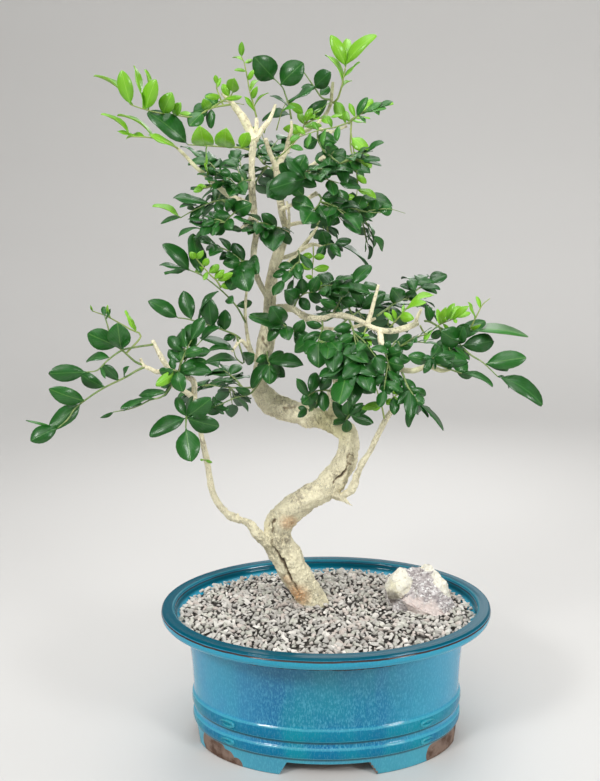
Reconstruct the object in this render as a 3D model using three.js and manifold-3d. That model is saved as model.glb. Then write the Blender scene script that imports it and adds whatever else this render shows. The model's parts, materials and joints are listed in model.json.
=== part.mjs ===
// Orange jasmine bonsai in its oval glazed pot, gravel dressing and one small rock.
// Millimetres, +Z up, feet on z = 0. The pot's centre is the centre of all the sizes below,
// and the whole group is shifted at the end so that its bounding box is centred on the origin.
// The trunk, its limbs and the leafy shoots are given as centre lines; every leaflet grows from its
// shoot by one blade rule, so the tree can be reshaped by moving a few points.

import * as THREE from "three";
import { ConvexGeometry } from "three/addons/geometries/ConvexGeometry.js";
import Module from "manifold-3d";

const wasm = await Module();
wasm.setup();
const { Manifold, Mesh: SolidMesh } = wasm;

// Pot
const rimLength = 305;
const rimWidth = 238;
const potHeight = 129;
const lipHeight = 10.5;
const ringWidth = 11.5;
const footHeight = 13;
const footLength = 247;
const footWidth = 159;
const footWall = 14;
const wall = 6.5;
const floorTop = 21;
const bandRise = 2.4;
const frontGapTop = 71;
const frontGapBottom = 86;
const sideGapTop = 38;
const sideGapBottom = 52;
const drainRadius = 11;
const drainSpacing = 96;
const potSectors = 30;

// Filling
const gap = 0.35;
const soilTop = 107;
const gravelTop = 123;
const grainRelief = 2.6;
const screenSize = 34;
const screenThickness = 1.2;

// Leaves
const bladeThickness = 0.75;
const leafArch = 0.07;
const seed = 4310;

// Colours
const colours = {
  glaze: 0x1c86a8,
  screen: 0x2a2a28,
  soil: 0x4a3a2c,
  gravel: 0xa9a59c,
  rock: 0xcdbdb0,
  bark: 0xd5c9a0,
  leaf: 0x1f5f2a,
  lime: 0x7cc01e,
};


// Rock: two rounded blocks grown into one, the pale lobe on the left and the taller peak.
const rockLobes = [
  [
    [57, 14, 121], [60, -4, 121], [76, -14, 122], [84, 6, 120], [80, 30, 121], [62, 28, 122],
    [56, 8, 141], [58, 22, 139], [63, 2, 151], [70, 12, 156], [80, 14, 154], [82, 0, 146],
    [74, 26, 150], [66, -6, 138],
  ],
  [
    [78, -14, 122], [96, -19, 121], [112, -12, 121], [123, 0, 120], [120, 16, 121], [104, 30, 121],
    [82, 28, 121], [86, -2, 146], [94, 10, 160.5], [99, 14, 160], [107, 10, 152], [113, 4, 146],
    [116, 14, 138], [104, 24, 144], [88, 20, 150], [78, 10, 138], [98, -12, 133], [84, -12, 132],
  ],
];

// Wood: centre lines as [x, y, z, radius]. Each branch starts inside the one it grows from.
const branches = {
  trunk: [
    [5, 14, 97, 14], [-11, 14, 121, 13.4], [-24, 12, 144, 13.8], [-32, 11, 159, 14],
    [-39, 10, 174, 14], [-44, 7, 188, 13], [-43, 4, 201, 12.4], [-35, 1, 213, 12.2],
    [-21, -2, 224, 11.8], [-4, -4, 235, 11.6], [9, -5, 246, 11.2], [17, -5, 259, 10.8],
    [22, -4, 271, 9.7], [23, -2, 281, 9.2], [20, -1, 289, 9], [12, 1, 295, 9], [0, 2, 300, 9.3],
    [-17, 5, 304, 9.5], [-32, 7, 308, 9.5], [-46, 8, 314, 9], [-55, 10, 322, 8.2], [-59, 10, 331, 7.2],
    [-57, 10, 341, 6.6], [-55, 8, 354, 6.6], [-52, 8, 369, 7.4], [-49, 7, 382, 7.2], [-48, 7, 394, 6],
    [-47, 7, 415, 5], [-44, 8, 432, 5.1], [-38, 10, 452, 4.9], [-33, 10, 464, 4], [-32, 10, 471, 3.4],
    [-35, 11, 483, 3.3], [-37, 12, 500, 3.2], [-39, 12, 515, 3.3], [-39, 12, 525, 3.4],
  ],
  left_arm: [
    [-39, 12, 522, 2.6], [-43, 7, 531, 2.2], [-46, 1, 539, 2], [-48, -4, 546, 1.8],
  ],
  right_arm: [
    [-39, 14, 523, 2.8], [-34, 20, 534, 2.5], [-26, 27, 546, 2.2], [-18, 34, 555, 2],
    [-7, 40, 562, 1.8], [3, 43, 571, 1.7], [9, 43, 582, 1.6], [10, 41, 591, 1.5], [11, 40, 600, 1.3],
  ],
  right_arm_2: [
    [-31, 23, 538, 2], [-29, 17, 547, 1.8], [-26, 11, 555, 1.5], [-26, 8, 562, 1.2],
  ],
  right_side: [
    [-7, 40, 562, 1.6], [8, 39, 557, 1.5], [23, 34, 561, 1.3],
  ],
  right_side_stub: [
    [8, 39, 557, 1.4], [7, 37, 543, 1.2],
  ],
  twin_stem: [
    [-30, 4, 466, 1.4], [-29, 4, 482, 1.3], [-31, 5, 494, 1.2],
  ],
  leader: [
    [-49, 4, 410, 2.8], [-58, -4, 430, 2.7], [-60, -8, 448, 2.7], [-57, -9, 468, 2.8],
    [-59, -9, 486, 3], [-60, -9, 505, 3], [-60, -9, 521, 2.8], [-59, -9, 535, 2.9],
    [-57, -9, 546, 3.2],
  ],
  leader_left: [
    [-57, -9, 545, 3.2], [-62, -9, 554, 3.6], [-66, -11, 562, 3.5], [-72, -12, 570, 3],
    [-77, -14, 576, 2.4], [-83, -15, 582, 1.6],
  ],
  leader_right: [
    [-57, -9, 545, 2.6], [-50, -8, 554, 2.3], [-45, -6, 560, 2], [-42, -5, 566, 1.6],
    [-39, -4, 574, 1.2],
  ],
  leader_mid: [
    [-57, -9, 546, 2.2], [-55, -11, 556, 1.7], [-55, -11, 562, 1.4],
  ],
  left_limb: [
    [-60, -9, 488, 2.9], [-68, -14, 493, 2.8], [-77, -18, 497, 2.6], [-84, -24, 502, 2.4],
    [-90, -30, 508, 2.2], [-97, -35, 514, 1.9], [-104, -41, 520, 1.6], [-111, -47, 528, 1.4],
    [-116, -53, 533, 1.2],
  ],
  left_limb_low: [
    [-59, -9, 483, 2], [-64, -18, 475, 1.7], [-70, -24, 469, 1.4],
  ],
  right_limb: [
    [-42, 8, 433, 3], [-35, 15, 437, 2.5], [-29, 21, 442, 2.3], [-22, 28, 450, 2.2], [-16, 36, 457, 2],
    [-9, 43, 466, 1.6], [-4, 49, 473, 1.2],
  ],
  right_limb_side: [
    [-20, 30, 452, 1.9], [-9, 30, 457, 1.8], [0, 31, 455, 1.2],
  ],
  right_peg: [
    [-39, 10, 445, 2], [-32, 1, 446, 1.9], [-22, -9, 450, 1.5],
  ],
  upper_peg: [
    [-38, 12, 511, 1.8], [-28, 7, 517, 1.6], [-19, 2, 519, 1.6], [-9, -6, 523, 1.7],
    [2, -15, 529, 2.1],
  ],
  middle_peg: [
    [-37, 11, 487, 1.9], [-26, 2, 491, 1.7], [-16, -6, 494, 1.8], [-5, -15, 499, 2],
  ],
  outer_peg: [
    [-34, 10, 473, 1.9], [-20, 17, 476, 1.7], [-4, 26, 478, 1.7], [9, 31, 487, 1.8],
    [22, 37, 492, 1.3],
  ],
  mid_twig: [
    [-58, 7, 349, 2.2], [-64, -1, 363, 2], [-67, -6, 378, 1.6], [-68, -12, 399, 1.4],
    [-66, -15, 420, 1.2],
  ],
  mid_left: [
    [-63, 2, 359, 2], [-68, -6, 369, 1.9], [-73, -12, 374, 1.7], [-80, -17, 365, 1.1],
  ],
  pad_limb: [
    [-45, 8, 400, 3.6], [-35, 2, 401, 3.4], [-27, -2, 401, 3.2], [-19, -6, 396, 3],
    [-11, -11, 393, 2.9], [-1, -15, 393, 2.8], [9, -19, 396, 2.6], [21, -24, 395, 2.3],
    [32, -28, 391, 2.3], [44, -32, 385, 2.3], [56, -34, 383, 2.6], [68, -32, 385, 2.7],
    [80, -30, 389, 2.3],
  ],
  pad_limb_low: [
    [-19, -6, 396, 2.4], [-12, -1, 389, 2.1], [-1, 5, 383, 1.8], [16, 8, 382, 1.6], [33, 5, 385, 1.5],
    [47, 8, 391, 1.3],
  ],
  pad_peg: [
    [37, -30, 388, 2.1], [40, -32, 398, 1.9], [43, -35, 410, 1.5], [46, -37, 422, 1.2],
  ],
  pad_knee: [
    [48, -32, 384, 2.3], [48, -41, 375, 2.4], [50, -47, 368, 2.1],
  ],
  pad_end: [
    [78, -30, 388, 1.6], [80, -30, 395, 1.4], [83, -30, 401, 1.2],
  ],
  low_limb: [
    [6, -1, 306, 3.2], [6, -11, 317, 2.7], [7, -19, 328, 2.5], [10, -27, 337, 2.5], [7, -31, 348, 2.5],
    [5, -34, 357, 2.7],
  ],
  low_limb_right: [
    [10, -27, 337, 2.4], [19, -35, 340, 2.4], [29, -43, 345, 2.3], [37, -48, 353, 2.2],
    [49, -54, 355, 2.1], [60, -60, 354, 2.2], [72, -64, 353, 2.3], [84, -69, 357, 2.2],
    [94, -72, 354, 1.7], [101, -73, 355, 1.3],
  ],
  left_sucker: [
    [-45, 5, 177, 6], [-57, -5, 191, 5.2], [-69, -11, 207, 3.8], [-77, -15, 212, 3.3],
    [-84, -19, 217, 3.2], [-91, -25, 225, 3], [-98, -32, 241, 2.8], [-100, -38, 257, 2.7],
    [-101, -44, 273, 2.5], [-103, -48, 287, 2.4], [-105, -53, 303, 2.3], [-107, -57, 319, 2.2],
    [-108, -60, 334, 2.2], [-108, -62, 346, 2.2], [-116, -64, 351, 2.2], [-126, -69, 357, 2.4],
    [-132, -72, 367, 2.2], [-138, -75, 381, 1.9],
  ],
  left_fork: [
    [-126, -69, 357, 2.2], [-136, -70, 355, 2], [-141, -73, 358, 1.8], [-146, -76, 361, 1.6],
    [-148, -77, 367, 1.1],
  ],
  left_low_arm: [
    [-108, -60, 331, 2.1], [-114, -64, 337, 2.1], [-120, -67, 341, 1.9], [-124, -69, 343, 1.5],
  ],
  left_hang_arm: [
    [-108, -59, 326, 1.7], [-111, -66, 324, 1.6], [-113, -72, 319, 1.2],
  ],
  sucker_spur: [
    [-77, -15, 212, 1.8], [-79, -15, 218, 0.9],
  ],
  right_spur: [
    [8, -9, 234, 4.4], [16, -14, 230, 3], [25, -17, 225, 0.9],
  ],
  right_sucker: [
    [15, -12, 232, 3], [23, -18, 239, 2.5], [29, -22, 255, 2.5], [33, -25, 266, 3],
    [40, -28, 278, 2.5], [46, -31, 292, 2.5], [53, -35, 307, 2.4], [59, -40, 318, 2.3],
    [66, -43, 329, 2.4],
  ],
};

// Leaflet outlines as [share of the length, share of the width], from stalk to tip.
const longOutline = [[0, 0], [0.28, 0.74], [0.62, 1], [0.88, 0.66], [1, 0]];
const middleOutline = [[0, 0], [0.4, 0.92], [0.8, 0.8], [1, 0]];
const shortOutline = [[0, 0], [0.5, 1], [0.95, 0.55]];

// Leafy shoots. Each spray has one or more shoots, given as
// [stalk radius, [stalk points], [leaves], [fronds]]; the first one starts at the wood.
// A leaf is [place on the shoot, tip x, tip y, tip z, width, turn of its face in degrees],
// a frond is [place on the shoot, tip x, tip y, tip z, leaflets, leaflet length].
const sprays = [
  {
    name: "left_low",
    tone: "leaf",
    shoots: [
      [
        1.1,
        [
          [-145, -76, 360], [-152, -80, 357], [-159, -85, 353], [-178, -92, 344], [-195, -101, 332],
        ],
        [
          [0.6, -195, -85, 356, 11, 0], [0.95, -212, -112, 348, 13, 0], [1, -220, -92, 315, 14, 15],
          [0.97, -235, -104, 323, 17, 80], [0.98, -239, -80, 302, 25, 65],
        ],
        [],
      ],
    ],
  },
  {
    name: "left_arch",
    tone: "leaf",
    shoots: [
      [
        1,
        [
          [-138, -76, 378], [-150, -85, 377], [-160, -90, 375], [-170, -96, 368], [-177, -101, 361],
          [-185, -104, 360],
        ],
        [
          [1, -212, -112, 360, 13, 0], [0.62, -189, -89, 367, 10, 65], [0.8, -169, -112, 357, 3, 25],
        ],
        [],
      ],
    ],
  },
  {
    name: "left_round",
    tone: "leaf",
    shoots: [
      [
        1.1,
        [
          [-147, -77, 362], [-152, -80, 365], [-161, -85, 375], [-168, -88, 382], [-170, -89, 393],
          [-172, -89, 401],
        ],
        [
          [0.5, -185, -94, 389, 16, 0], [0.42, -160, -100, 397, 17, 0], [0.38, -152, -97, 383, 5, 50],
        ],
        [],
      ],
      [
        0.9,
        [
          [-158.1, -83.4, 371.8], [-147, -77, 385], [-155, -80, 391], [-166, -82, 398],
          [-173, -83, 402], [-183, -85, 406],
        ],
        [
          [0.4, -159, -72, 406, 6, 55],
        ],
        [],
      ],
    ],
  },
  {
    name: "left_tuft",
    tone: "leaf",
    shoots: [
      [
        1.2,
        [
          [-118, -69, 353], [-118, -76, 356], [-121, -82, 358],
        ],
        [
          [0.3, -91, -77, 356, 13, 50], [0.5, -97, -64, 363, 10, 15],
        ],
        [
          [0.5, -107, -73, 381, 2, 18],
        ],
      ],
      [
        0.9,
        [
          [-118, -76, 356], [-130, -75, 337], [-142, -77, 333], [-148, -80, 330], [-157, -83, 327],
          [-170, -86, 325],
        ],
        [
          [0.3, -153, -70, 337, 8, 35],
        ],
        [],
      ],
    ],
  },
  {
    name: "left_hang",
    tone: "leaf",
    shoots: [
      [
        1.1,
        [
          [-113, -73, 319], [-113, -77, 316], [-113, -80, 310],
        ],
        [
          [0.2, -142, -84, 305, 14, 25], [0.2, -87, -69, 309, 15, 0], [1, -108, -96, 287, 19, 0],
          [0.1, -92, -78, 334, 15, 0],
        ],
        [],
      ],
    ],
  },
  {
    name: "back_low",
    tone: "leaf",
    shoots: [
      [
        1.1,
        [
          [-66, 17, 328], [-74, 34, 325], [-93, 52, 323], [-112, 66, 324],
        ],
        [],
        [
          [0.3, -93, 75, 333, 2, 22], [0.95, -126, 78, 315, 2, 22], [0.6, -90, 78, 302, 2, 20],
        ],
      ],
    ],
  },
  {
    name: "mid_low",
    tone: "leaf",
    shoots: [
      [
        1,
        [
          [-73, -12, 376], [-76, -15, 379], [-83, -21, 383], [-97, -30, 389], [-113, -38, 395],
          [-122, -44, 397],
        ],
        [
          [1, -144, -53, 412, 12, 30], [0.8, -119, -32, 419, 13, 0], [0.5, -96, -42, 414, 14, 0],
          [0.7, -89, -39, 419, 13, 75],
        ],
        [],
      ],
    ],
  },
  {
    name: "mid_high",
    tone: "leaf",
    shoots: [
      [
        1,
        [
          [-68, -11, 390], [-72, -15, 399], [-76, -19, 406], [-86, -27, 418], [-101, -35, 431],
          [-113, -41, 437],
        ],
        [
          [0.97, -131, -49, 458, 13, 30], [0.98, -133, -54, 443, 9, 70],
          [0.82, -109, -27, 467, 16, 35],
        ],
        [],
      ],
    ],
  },
  {
    name: "mid_lime",
    tone: "lime",
    shoots: [
      [
        0.9,
        [
          [-87, -28, 421], [-90, -31, 427], [-95, -34, 432], [-102, -38, 441], [-106, -40, 446],
        ],
        [
          [0.5, -87, -39, 440, 8, 0], [0.2, -76, -41, 433, 7, 0], [0.05, -76, -26, 423, 8, 0],
        ],
        [],
      ],
    ],
  },
  {
    name: "mid_gloss",
    tone: "leaf",
    shoots: [
      [
        1.1,
        [
          [-60, -12, 442], [-65, -19, 443], [-70, -25, 442], [-72, -28, 437],
        ],
        [
          [0.3, -55, -37, 433, 15, 0], [0.75, -63, -44, 419, 20, 0], [1, -79, -32, 419, 14, 0],
        ],
        [
          [0.6, -91, -32, 456, 2, 16],
        ],
      ],
    ],
  },
  {
    name: "ul_end",
    tone: "lime",
    shoots: [
      [
        0.9,
        [
          [-116, -54, 533], [-125, -60, 538], [-136, -66, 540], [-149, -72, 540],
        ],
        [
          [1, -169, -80, 557, 10, 75], [0.55, -162, -59, 558, 16, 75], [0.05, -135, -68, 543, 9, 50],
        ],
        [],
      ],
    ],
  },
  {
    name: "ul_lime",
    tone: "lime",
    shoots: [
      [
        0.9,
        [
          [-76, -19, 572], [-91, -27, 568], [-104, -35, 560], [-116, -43, 560], [-130, -50, 561],
          [-141, -56, 563], [-151, -60, 566],
        ],
        [
          [1, -155, -69, 590, 14, 0], [0.98, -179, -54, 591, 16, 80], [0.86, -129, -68, 583, 15, 0],
          [0.7, -118, -61, 574, 15, 0], [0.88, -143, -66, 594, 12, 80], [0.84, -139, -52, 594, 13, 75],
        ],
        [],
      ],
      [
        0.9,
        [
          [-91, -27, 568], [-75, -17, 580], [-74, -18, 582],
        ],
        [
          [1, -72, -36, 588, 13, 0],
        ],
        [],
      ],
      [
        0.9,
        [
          [-81.6, -22, 570.5], [-87, -19, 585], [-87, -21, 588],
        ],
        [
          [0.4, -95, -32, 576, 6, 0],
        ],
        [],
      ],
    ],
  },
  {
    name: "ul_row",
    tone: "lime",
    shoots: [
      [
        1,
        [
          [-62, -15, 536], [-70, -21, 537], [-81, -27, 537], [-98, -37, 537], [-109, -43, 537],
        ],
        [
          [1, -139, -51, 562, 18, 35], [0.73, -96, -64, 547, 21, 0], [0.38, -77, -54, 548, 20, 0],
        ],
        [],
      ],
    ],
  },
  {
    name: "ul_mid",
    tone: "leaf",
    shoots: [
      [
        0.9,
        [
          [-77, -22, 494], [-84, -27, 494], [-95, -32, 491], [-107, -38, 485], [-117, -43, 479],
        ],
        [
          [1, -138, -51, 489, 11, 55], [0.98, -135, -36, 475, 8, 65], [0.45, -121, -46, 497, 12, 55],
        ],
        [],
      ],
      [
        1,
        [
          [-84, -27, 494], [-73, -27, 486], [-77, -34, 480], [-81, -40, 475],
        ],
        [
          [0.5, -59, -41, 489, 13, 0],
        ],
        [
          [1, -101, -47, 470, 2, 15],
        ],
      ],
    ],
  },
  {
    name: "ul_dark",
    tone: "leaf",
    shoots: [
      [
        1,
        [
          [-61, -14, 511], [-67, -24, 509], [-72, -32, 505],
        ],
        [
          [1, -76, -48, 496, 12, 0], [0.8, -63, -44, 497, 12, 0],
        ],
        [
          [1, -82, -47, 507, 2, 15],
        ],
      ],
      [
        1,
        [
          [-67, -24, 509], [-69, 17, 505], [-79, 34, 512], [-92, 52, 519],
        ],
        [],
        [
          [0.4, -78, 43, 529, 2, 17], [0.7, -100, 54, 503, 2, 18], [1, -109, 63, 538, 2, 18],
          [0.9, -102, 66, 487, 2, 18],
        ],
      ],
    ],
  },
  {
    name: "top_curl",
    tone: "lime",
    shoots: [
      [
        0.9,
        [
          [-55, -11, 563], [-57, -14, 572], [-60, -15, 584], [-62, -17, 596], [-64, -18, 606],
          [-66, -18, 610],
        ],
        [
          [0.42, -53, -3, 595, 6, 20], [0.16, -45, -10, 583, 7, 70], [0.08, -63, -21, 578, 6, 50],
        ],
        [],
      ],
    ],
  },
  {
    name: "top_dark",
    tone: "leaf",
    shoots: [
      [
        1,
        [
          [-26, 8, 564], [-28, 5, 575], [-31, 4, 584], [-33, 2, 589], [-40, 1, 596],
        ],
        [
          [1, -55, -20, 609, 20, 0], [0.8, -15, -6, 607, 19, 0], [0.38, -6, -8, 589, 12, 50],
          [0.1, -52, 19, 565, 12, 55],
        ],
        [],
      ],
    ],
  },
  {
    name: "top_mid",
    tone: "leaf",
    shoots: [
      [
        1,
        [
          [8, 40, 585], [1, 36, 586], [-6, 33, 595], [-15, 30, 607],
        ],
        [
          [0.55, 7, 18, 604, 15, 0], [0.3, 8, 41, 597, 8, 0], [0.05, -13, 48, 570, 12, 0],
        ],
        [],
      ],
    ],
  },
  {
    name: "top_lime",
    tone: "lime",
    shoots: [
      [
        1.1,
        [
          [11, 40, 582], [15, 36, 585], [18, 33, 593], [20, 30, 601], [22, 28, 611],
        ],
        [
          [1, 9, 20, 635, 13, 0], [0.97, 23, 46, 640, 14, 25], [1, 48, 15, 633, 16, 35],
          [0.62, 4, 40, 623, 13, 55], [0.1, 19, 28, 567, 12, 0],
        ],
        [],
      ],
    ],
  },
  {
    name: "top_right",
    tone: "lime",
    shoots: [
      [
        1,
        [
          [25, 34, 563], [27, 30, 566], [33, 27, 569], [38, 26, 572],
        ],
        [
          [1, 62, 17, 579, 11, 45], [0.9, 46, 32, 583, 8, 0], [0.1, 20, 44, 577, 7, 0],
        ],
        [],
      ],
      [
        0.9,
        [
          [27, 30, 566], [26, 26, 541], [30, 21, 530], [32, 17, 514], [30, 12, 494],
        ],
        [
          [0.99, 61, 2, 490, 14, 50],
        ],
        [],
      ],
    ],
  },
  {
    name: "crown_lime",
    tone: "lime",
    shoots: [
      [
        1,
        [
          [-17, 28, 554], [-16, 20, 558], [-14, 14, 562],
        ],
        [
          [0.3, -33, 15, 557, 10, 0], [0.6, 1, 28, 562, 8, 25],
        ],
        [
          [0.8, 7, 5, 564, 2, 13],
        ],
      ],
    ],
  },
  {
    name: "crown_right",
    tone: "leaf",
    shoots: [
      [
        1,
        [
          [-3, 40, 558], [-3, 31, 549], [1, 26, 540],
        ],
        [
          [0.3, 13, 26, 546, 11, 0], [0.7, 17, 35, 535, 11, 0],
        ],
        [
          [1, 25, 11, 524, 2, 16],
        ],
      ],
      [
        1,
        [
          [1, 26, 540], [9, -22, 527], [15, -27, 522],
        ],
        [
          [1, 19, -40, 503, 10, 0], [0.7, 3, -33, 512, 11, 0],
        ],
        [
          [1, 32, -38, 524, 2, 15],
        ],
      ],
    ],
  },
  {
    name: "crown_front",
    tone: "leaf",
    shoots: [
      [
        1.1,
        [
          [-34, 7, 507], [-31, -6, 510], [-26, -18, 512], [-22, -27, 513],
        ],
        [
          [0.3, -44, -26, 497, 19, 0], [1, -14, -33, 529, 13, 0],
        ],
        [
          [1, 3, -44, 511, 2, 18],
        ],
      ],
    ],
  },
  {
    name: "crown_back",
    tone: "leaf",
    shoots: [
      [
        1,
        [
          [-40, 20, 519], [-46, 37, 526], [-53, 54, 531],
        ],
        [],
        [
          [0.4, -33, 69, 536, 2, 18], [0.7, -62, 75, 517, 2, 18], [1, -70, 89, 548, 2, 18],
          [1, -41, 89, 557, 2, 17],
        ],
      ],
    ],
  },
  {
    name: "heart_leaves",
    tone: "leaf",
    shoots: [
      [
        1.1,
        [
          [-3, -17, 498], [-1, -24, 494], [-4, -31, 488], [-8, -35, 484],
        ],
        [
          [1, -16, -58, 472, 18, 0], [0.9, -26, -25, 493, 13, 0],
        ],
        [
          [0.5, 17, -47, 480, 2, 18],
        ],
      ],
    ],
  },
  {
    name: "pale_round",
    tone: "leaf",
    shoots: [
      [
        1.1,
        [
          [-34, 2, 468], [-37, -11, 471], [-41, -19, 471],
        ],
        [
          [1, -42, -42, 452, 19, 0], [0.6, -56, -5, 464, 11, 0],
        ],
        [
          [1, -59, -35, 474, 2, 16],
        ],
      ],
    ],
  },
  {
    name: "outer_right",
    tone: "leaf",
    shoots: [
      [
        1,
        [
          [24, 37, 493], [29, 31, 489], [34, 27, 485],
        ],
        [
          [0.3, 27, 21, 501, 11, 0], [1, 50, 22, 485, 11, 0],
        ],
        [
          [1, 46, 37, 464, 2, 15],
        ],
      ],
    ],
  },
  {
    name: "limb_tip",
    tone: "leaf",
    shoots: [
      [
        1,
        [
          [-4, 49, 475], [-1, 50, 480], [3, 52, 483],
        ],
        [
          [0.5, -3, 39, 492, 11, 0], [1, 17, 44, 477, 11, 0],
        ],
        [
          [1, 8, 69, 461, 2, 16],
        ],
      ],
    ],
  },
  {
    name: "limb_side",
    tone: "leaf",
    shoots: [
      [
        1,
        [
          [1, 31, 455], [5, 27, 457], [11, 24, 457],
        ],
        [
          [0.4, 0, 15, 468, 12, 0], [1, 27, 30, 461, 8, 20], [1, 44, 33, 431, 17, 75],
        ],
        [],
      ],
    ],
  },
  {
    name: "thin_twig",
    tone: "lime",
    shoots: [
      [
        0.8,
        [
          [-8, 24, 455], [-8, 20, 445], [-9, 17, 434], [-9, 15, 427],
        ],
        [
          [0.7, -20, 4, 439, 7, 0], [0.72, 7, 26, 436, 8, 0], [1, -1, 9, 417, 10, 0],
        ],
        [],
      ],
    ],
  },
  {
    name: "side_front",
    tone: "leaf",
    shoots: [
      [
        1,
        [
          [-21, -11, 451], [-20, -18, 447], [-20, -24, 442],
        ],
        [
          [1, -22, -32, 428, 9, 0], [0.3, -9, -28, 437, 7, 25],
        ],
        [
          [1, -33, -35, 427, 2, 14],
        ],
      ],
    ],
  },
  {
    name: "fold_leaves",
    tone: "leaf",
    shoots: [
      [
        1.1,
        [
          [-25, -6, 404], [-22, -15, 410], [-16, -21, 415], [-11, -25, 416],
        ],
        [
          [0.4, -33, -34, 418, 15, 0], [1, -4, -38, 430, 10, 0],
        ],
        [
          [1, 9, -38, 420, 2, 18],
        ],
      ],
    ],
  },
  {
    name: "front_pair",
    tone: "leaf",
    shoots: [
      [
        1.1,
        [
          [-42, -2, 393], [-38, -15, 390], [-32, -24, 387], [-24, -27, 382],
        ],
        [
          [0.55, -63, -28, 398, 13, 45], [0.6, -44, -35, 405, 16, 0], [0.7, -30, -38, 377, 12, 0],
        ],
        [],
      ],
    ],
  },
  {
    name: "pad_a",
    tone: "leaf",
    shoots: [
      [
        1.1,
        [
          [-1, -21, 391], [-1, -32, 386], [-3, -41, 380], [-5, -46, 376],
        ],
        [
          [1, -5, -60, 356, 18, 0], [0.8, -25, -33, 366, 12, 40],
        ],
        [
          [1, 13, -59, 368, 2, 22],
        ],
      ],
    ],
  },
  {
    name: "pad_b",
    tone: "leaf",
    shoots: [
      [
        1.1,
        [
          [9, -19, 399], [13, -24, 406], [16, -27, 412],
        ],
        [
          [0.4, -3, -31, 410, 8, 0], [1, 11, -41, 427, 14, 0],
        ],
        [
          [1, 25, -21, 421, 2, 20],
        ],
      ],
    ],
  },
  {
    name: "pad_c",
    tone: "leaf",
    shoots: [
      [
        1.1,
        [
          [22, -30, 392], [24, -41, 387], [25, -50, 381], [26, -56, 375],
        ],
        [
          [1, 16, -69, 360, 11, 0], [0.5, 35, -48, 367, 10, 40],
        ],
        [
          [1, 30, -73, 354, 2, 26], [0.6, 41, -73, 366, 2, 22],
        ],
      ],
    ],
  },
  {
    name: "pad_back",
    tone: "leaf",
    shoots: [
      [
        1.2,
        [
          [16, 14, 385], [22, 31, 388], [30, 49, 392], [40, 66, 397],
        ],
        [
          [1, 29, 57, 421, 12, 20], [0.9, 61, 67, 412, 13, 0],
        ],
        [
          [0.3, 7, 52, 394, 2, 20], [0.6, 18, 72, 408, 2, 22], [1, 62, 92, 397, 2, 24],
          [0.8, 49, 84, 374, 2, 22],
        ],
      ],
    ],
  },
  {
    name: "pad_back_far",
    tone: "leaf",
    shoots: [
      [
        1.2,
        [
          [49, 11, 393], [58, 23, 398], [68, 37, 403], [81, 49, 407],
        ],
        [
          [0.8, 63, 26, 417, 15, 0], [1, 84, 32, 414, 12, 0],
        ],
        [
          [0.4, 62, 46, 381, 2, 22], [0.9, 96, 78, 397, 2, 22], [1, 103, 66, 419, 2, 20],
        ],
      ],
    ],
  },
  {
    name: "pad_lime",
    tone: "lime",
    shoots: [
      [
        0.9,
        [
          [56, -38, 387], [60, -41, 392], [65, -44, 398], [71, -47, 406],
        ],
        [
          [0.8, 84, -54, 408, 8, 50], [1, 92, -41, 414, 10, 60], [0.5, 74, -54, 395, 10, 0],
        ],
        [],
      ],
    ],
  },
  {
    name: "pad_dark",
    tone: "leaf",
    shoots: [
      [
        1.1,
        [
          [50, -53, 368], [51, -60, 364], [52, -66, 360],
        ],
        [
          [0.9, 64, -73, 358, 12, 0], [0.5, 70, -64, 362, 9, 35],
        ],
        [
          [1, 47, -85, 341, 2, 20],
        ],
      ],
      [
        1,
        [
          [51, -60, 364], [60, -47, 376], [63, -53, 372],
        ],
        [
          [0.6, 74, -39, 379, 8, 0],
        ],
        [
          [1, 80, -73, 377, 2, 18],
        ],
      ],
    ],
  },
  {
    name: "end_curl",
    tone: "lime",
    shoots: [
      [
        0.9,
        [
          [82, -31, 387], [85, -37, 381], [89, -41, 382], [96, -47, 389], [109, -53, 395],
        ],
        [
          [0.66, 99, -61, 404, 7, 30], [0.8, 107, -54, 407, 8, 40], [0.85, 116, -39, 404, 7, 40],
        ],
        [],
      ],
    ],
  },
  {
    name: "end_dark",
    tone: "leaf",
    shoots: [
      [
        1.1,
        [
          [86, -31, 391], [89, -38, 391], [96, -41, 387], [104, -43, 382], [115, -44, 371],
        ],
        [
          [0.95, 97, -61, 384, 17, 0], [1, 144, -35, 374, 15, 0], [0.9, 137, -32, 390, 14, 55],
        ],
        [
          [0.4, 104, -53, 368, 2, 20],
        ],
      ],
    ],
  },
  {
    name: "end_far",
    tone: "leaf",
    shoots: [
      [
        1,
        [
          [117, -46, 368], [123, -50, 363], [131, -56, 358], [142, -63, 347],
        ],
        [
          [0.6, 164, -65, 363, 15, 35], [0.62, 153, -51, 351, 9, 35], [1, 175, -76, 325, 18, 50],
        ],
        [],
      ],
    ],
  },
  {
    name: "end_bare",
    tone: "lime",
    shoots: [
      [
        0.8,
        [
          [117, -43, 374], [121, -43, 382], [125, -43, 391], [129, -43, 399], [132, -43, 405],
          [138, -43, 410],
        ],
        [
          [0.5, 120, -51, 408, 7, 55], [0.72, 128, -37, 412, 5, 30], [0.25, 173, -34, 378, 24, 80],
        ],
        [],
      ],
    ],
  },
  {
    name: "low_a",
    tone: "leaf",
    shoots: [
      [
        1.1,
        [
          [8, -38, 359], [13, -47, 362], [20, -53, 364],
        ],
        [
          [1, 40, -47, 360, 9, 15], [0.8, 21, -63, 375, 7, 0],
        ],
        [
          [1, 17, -76, 351, 2, 26],
        ],
      ],
    ],
  },
  {
    name: "low_b",
    tone: "leaf",
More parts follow.
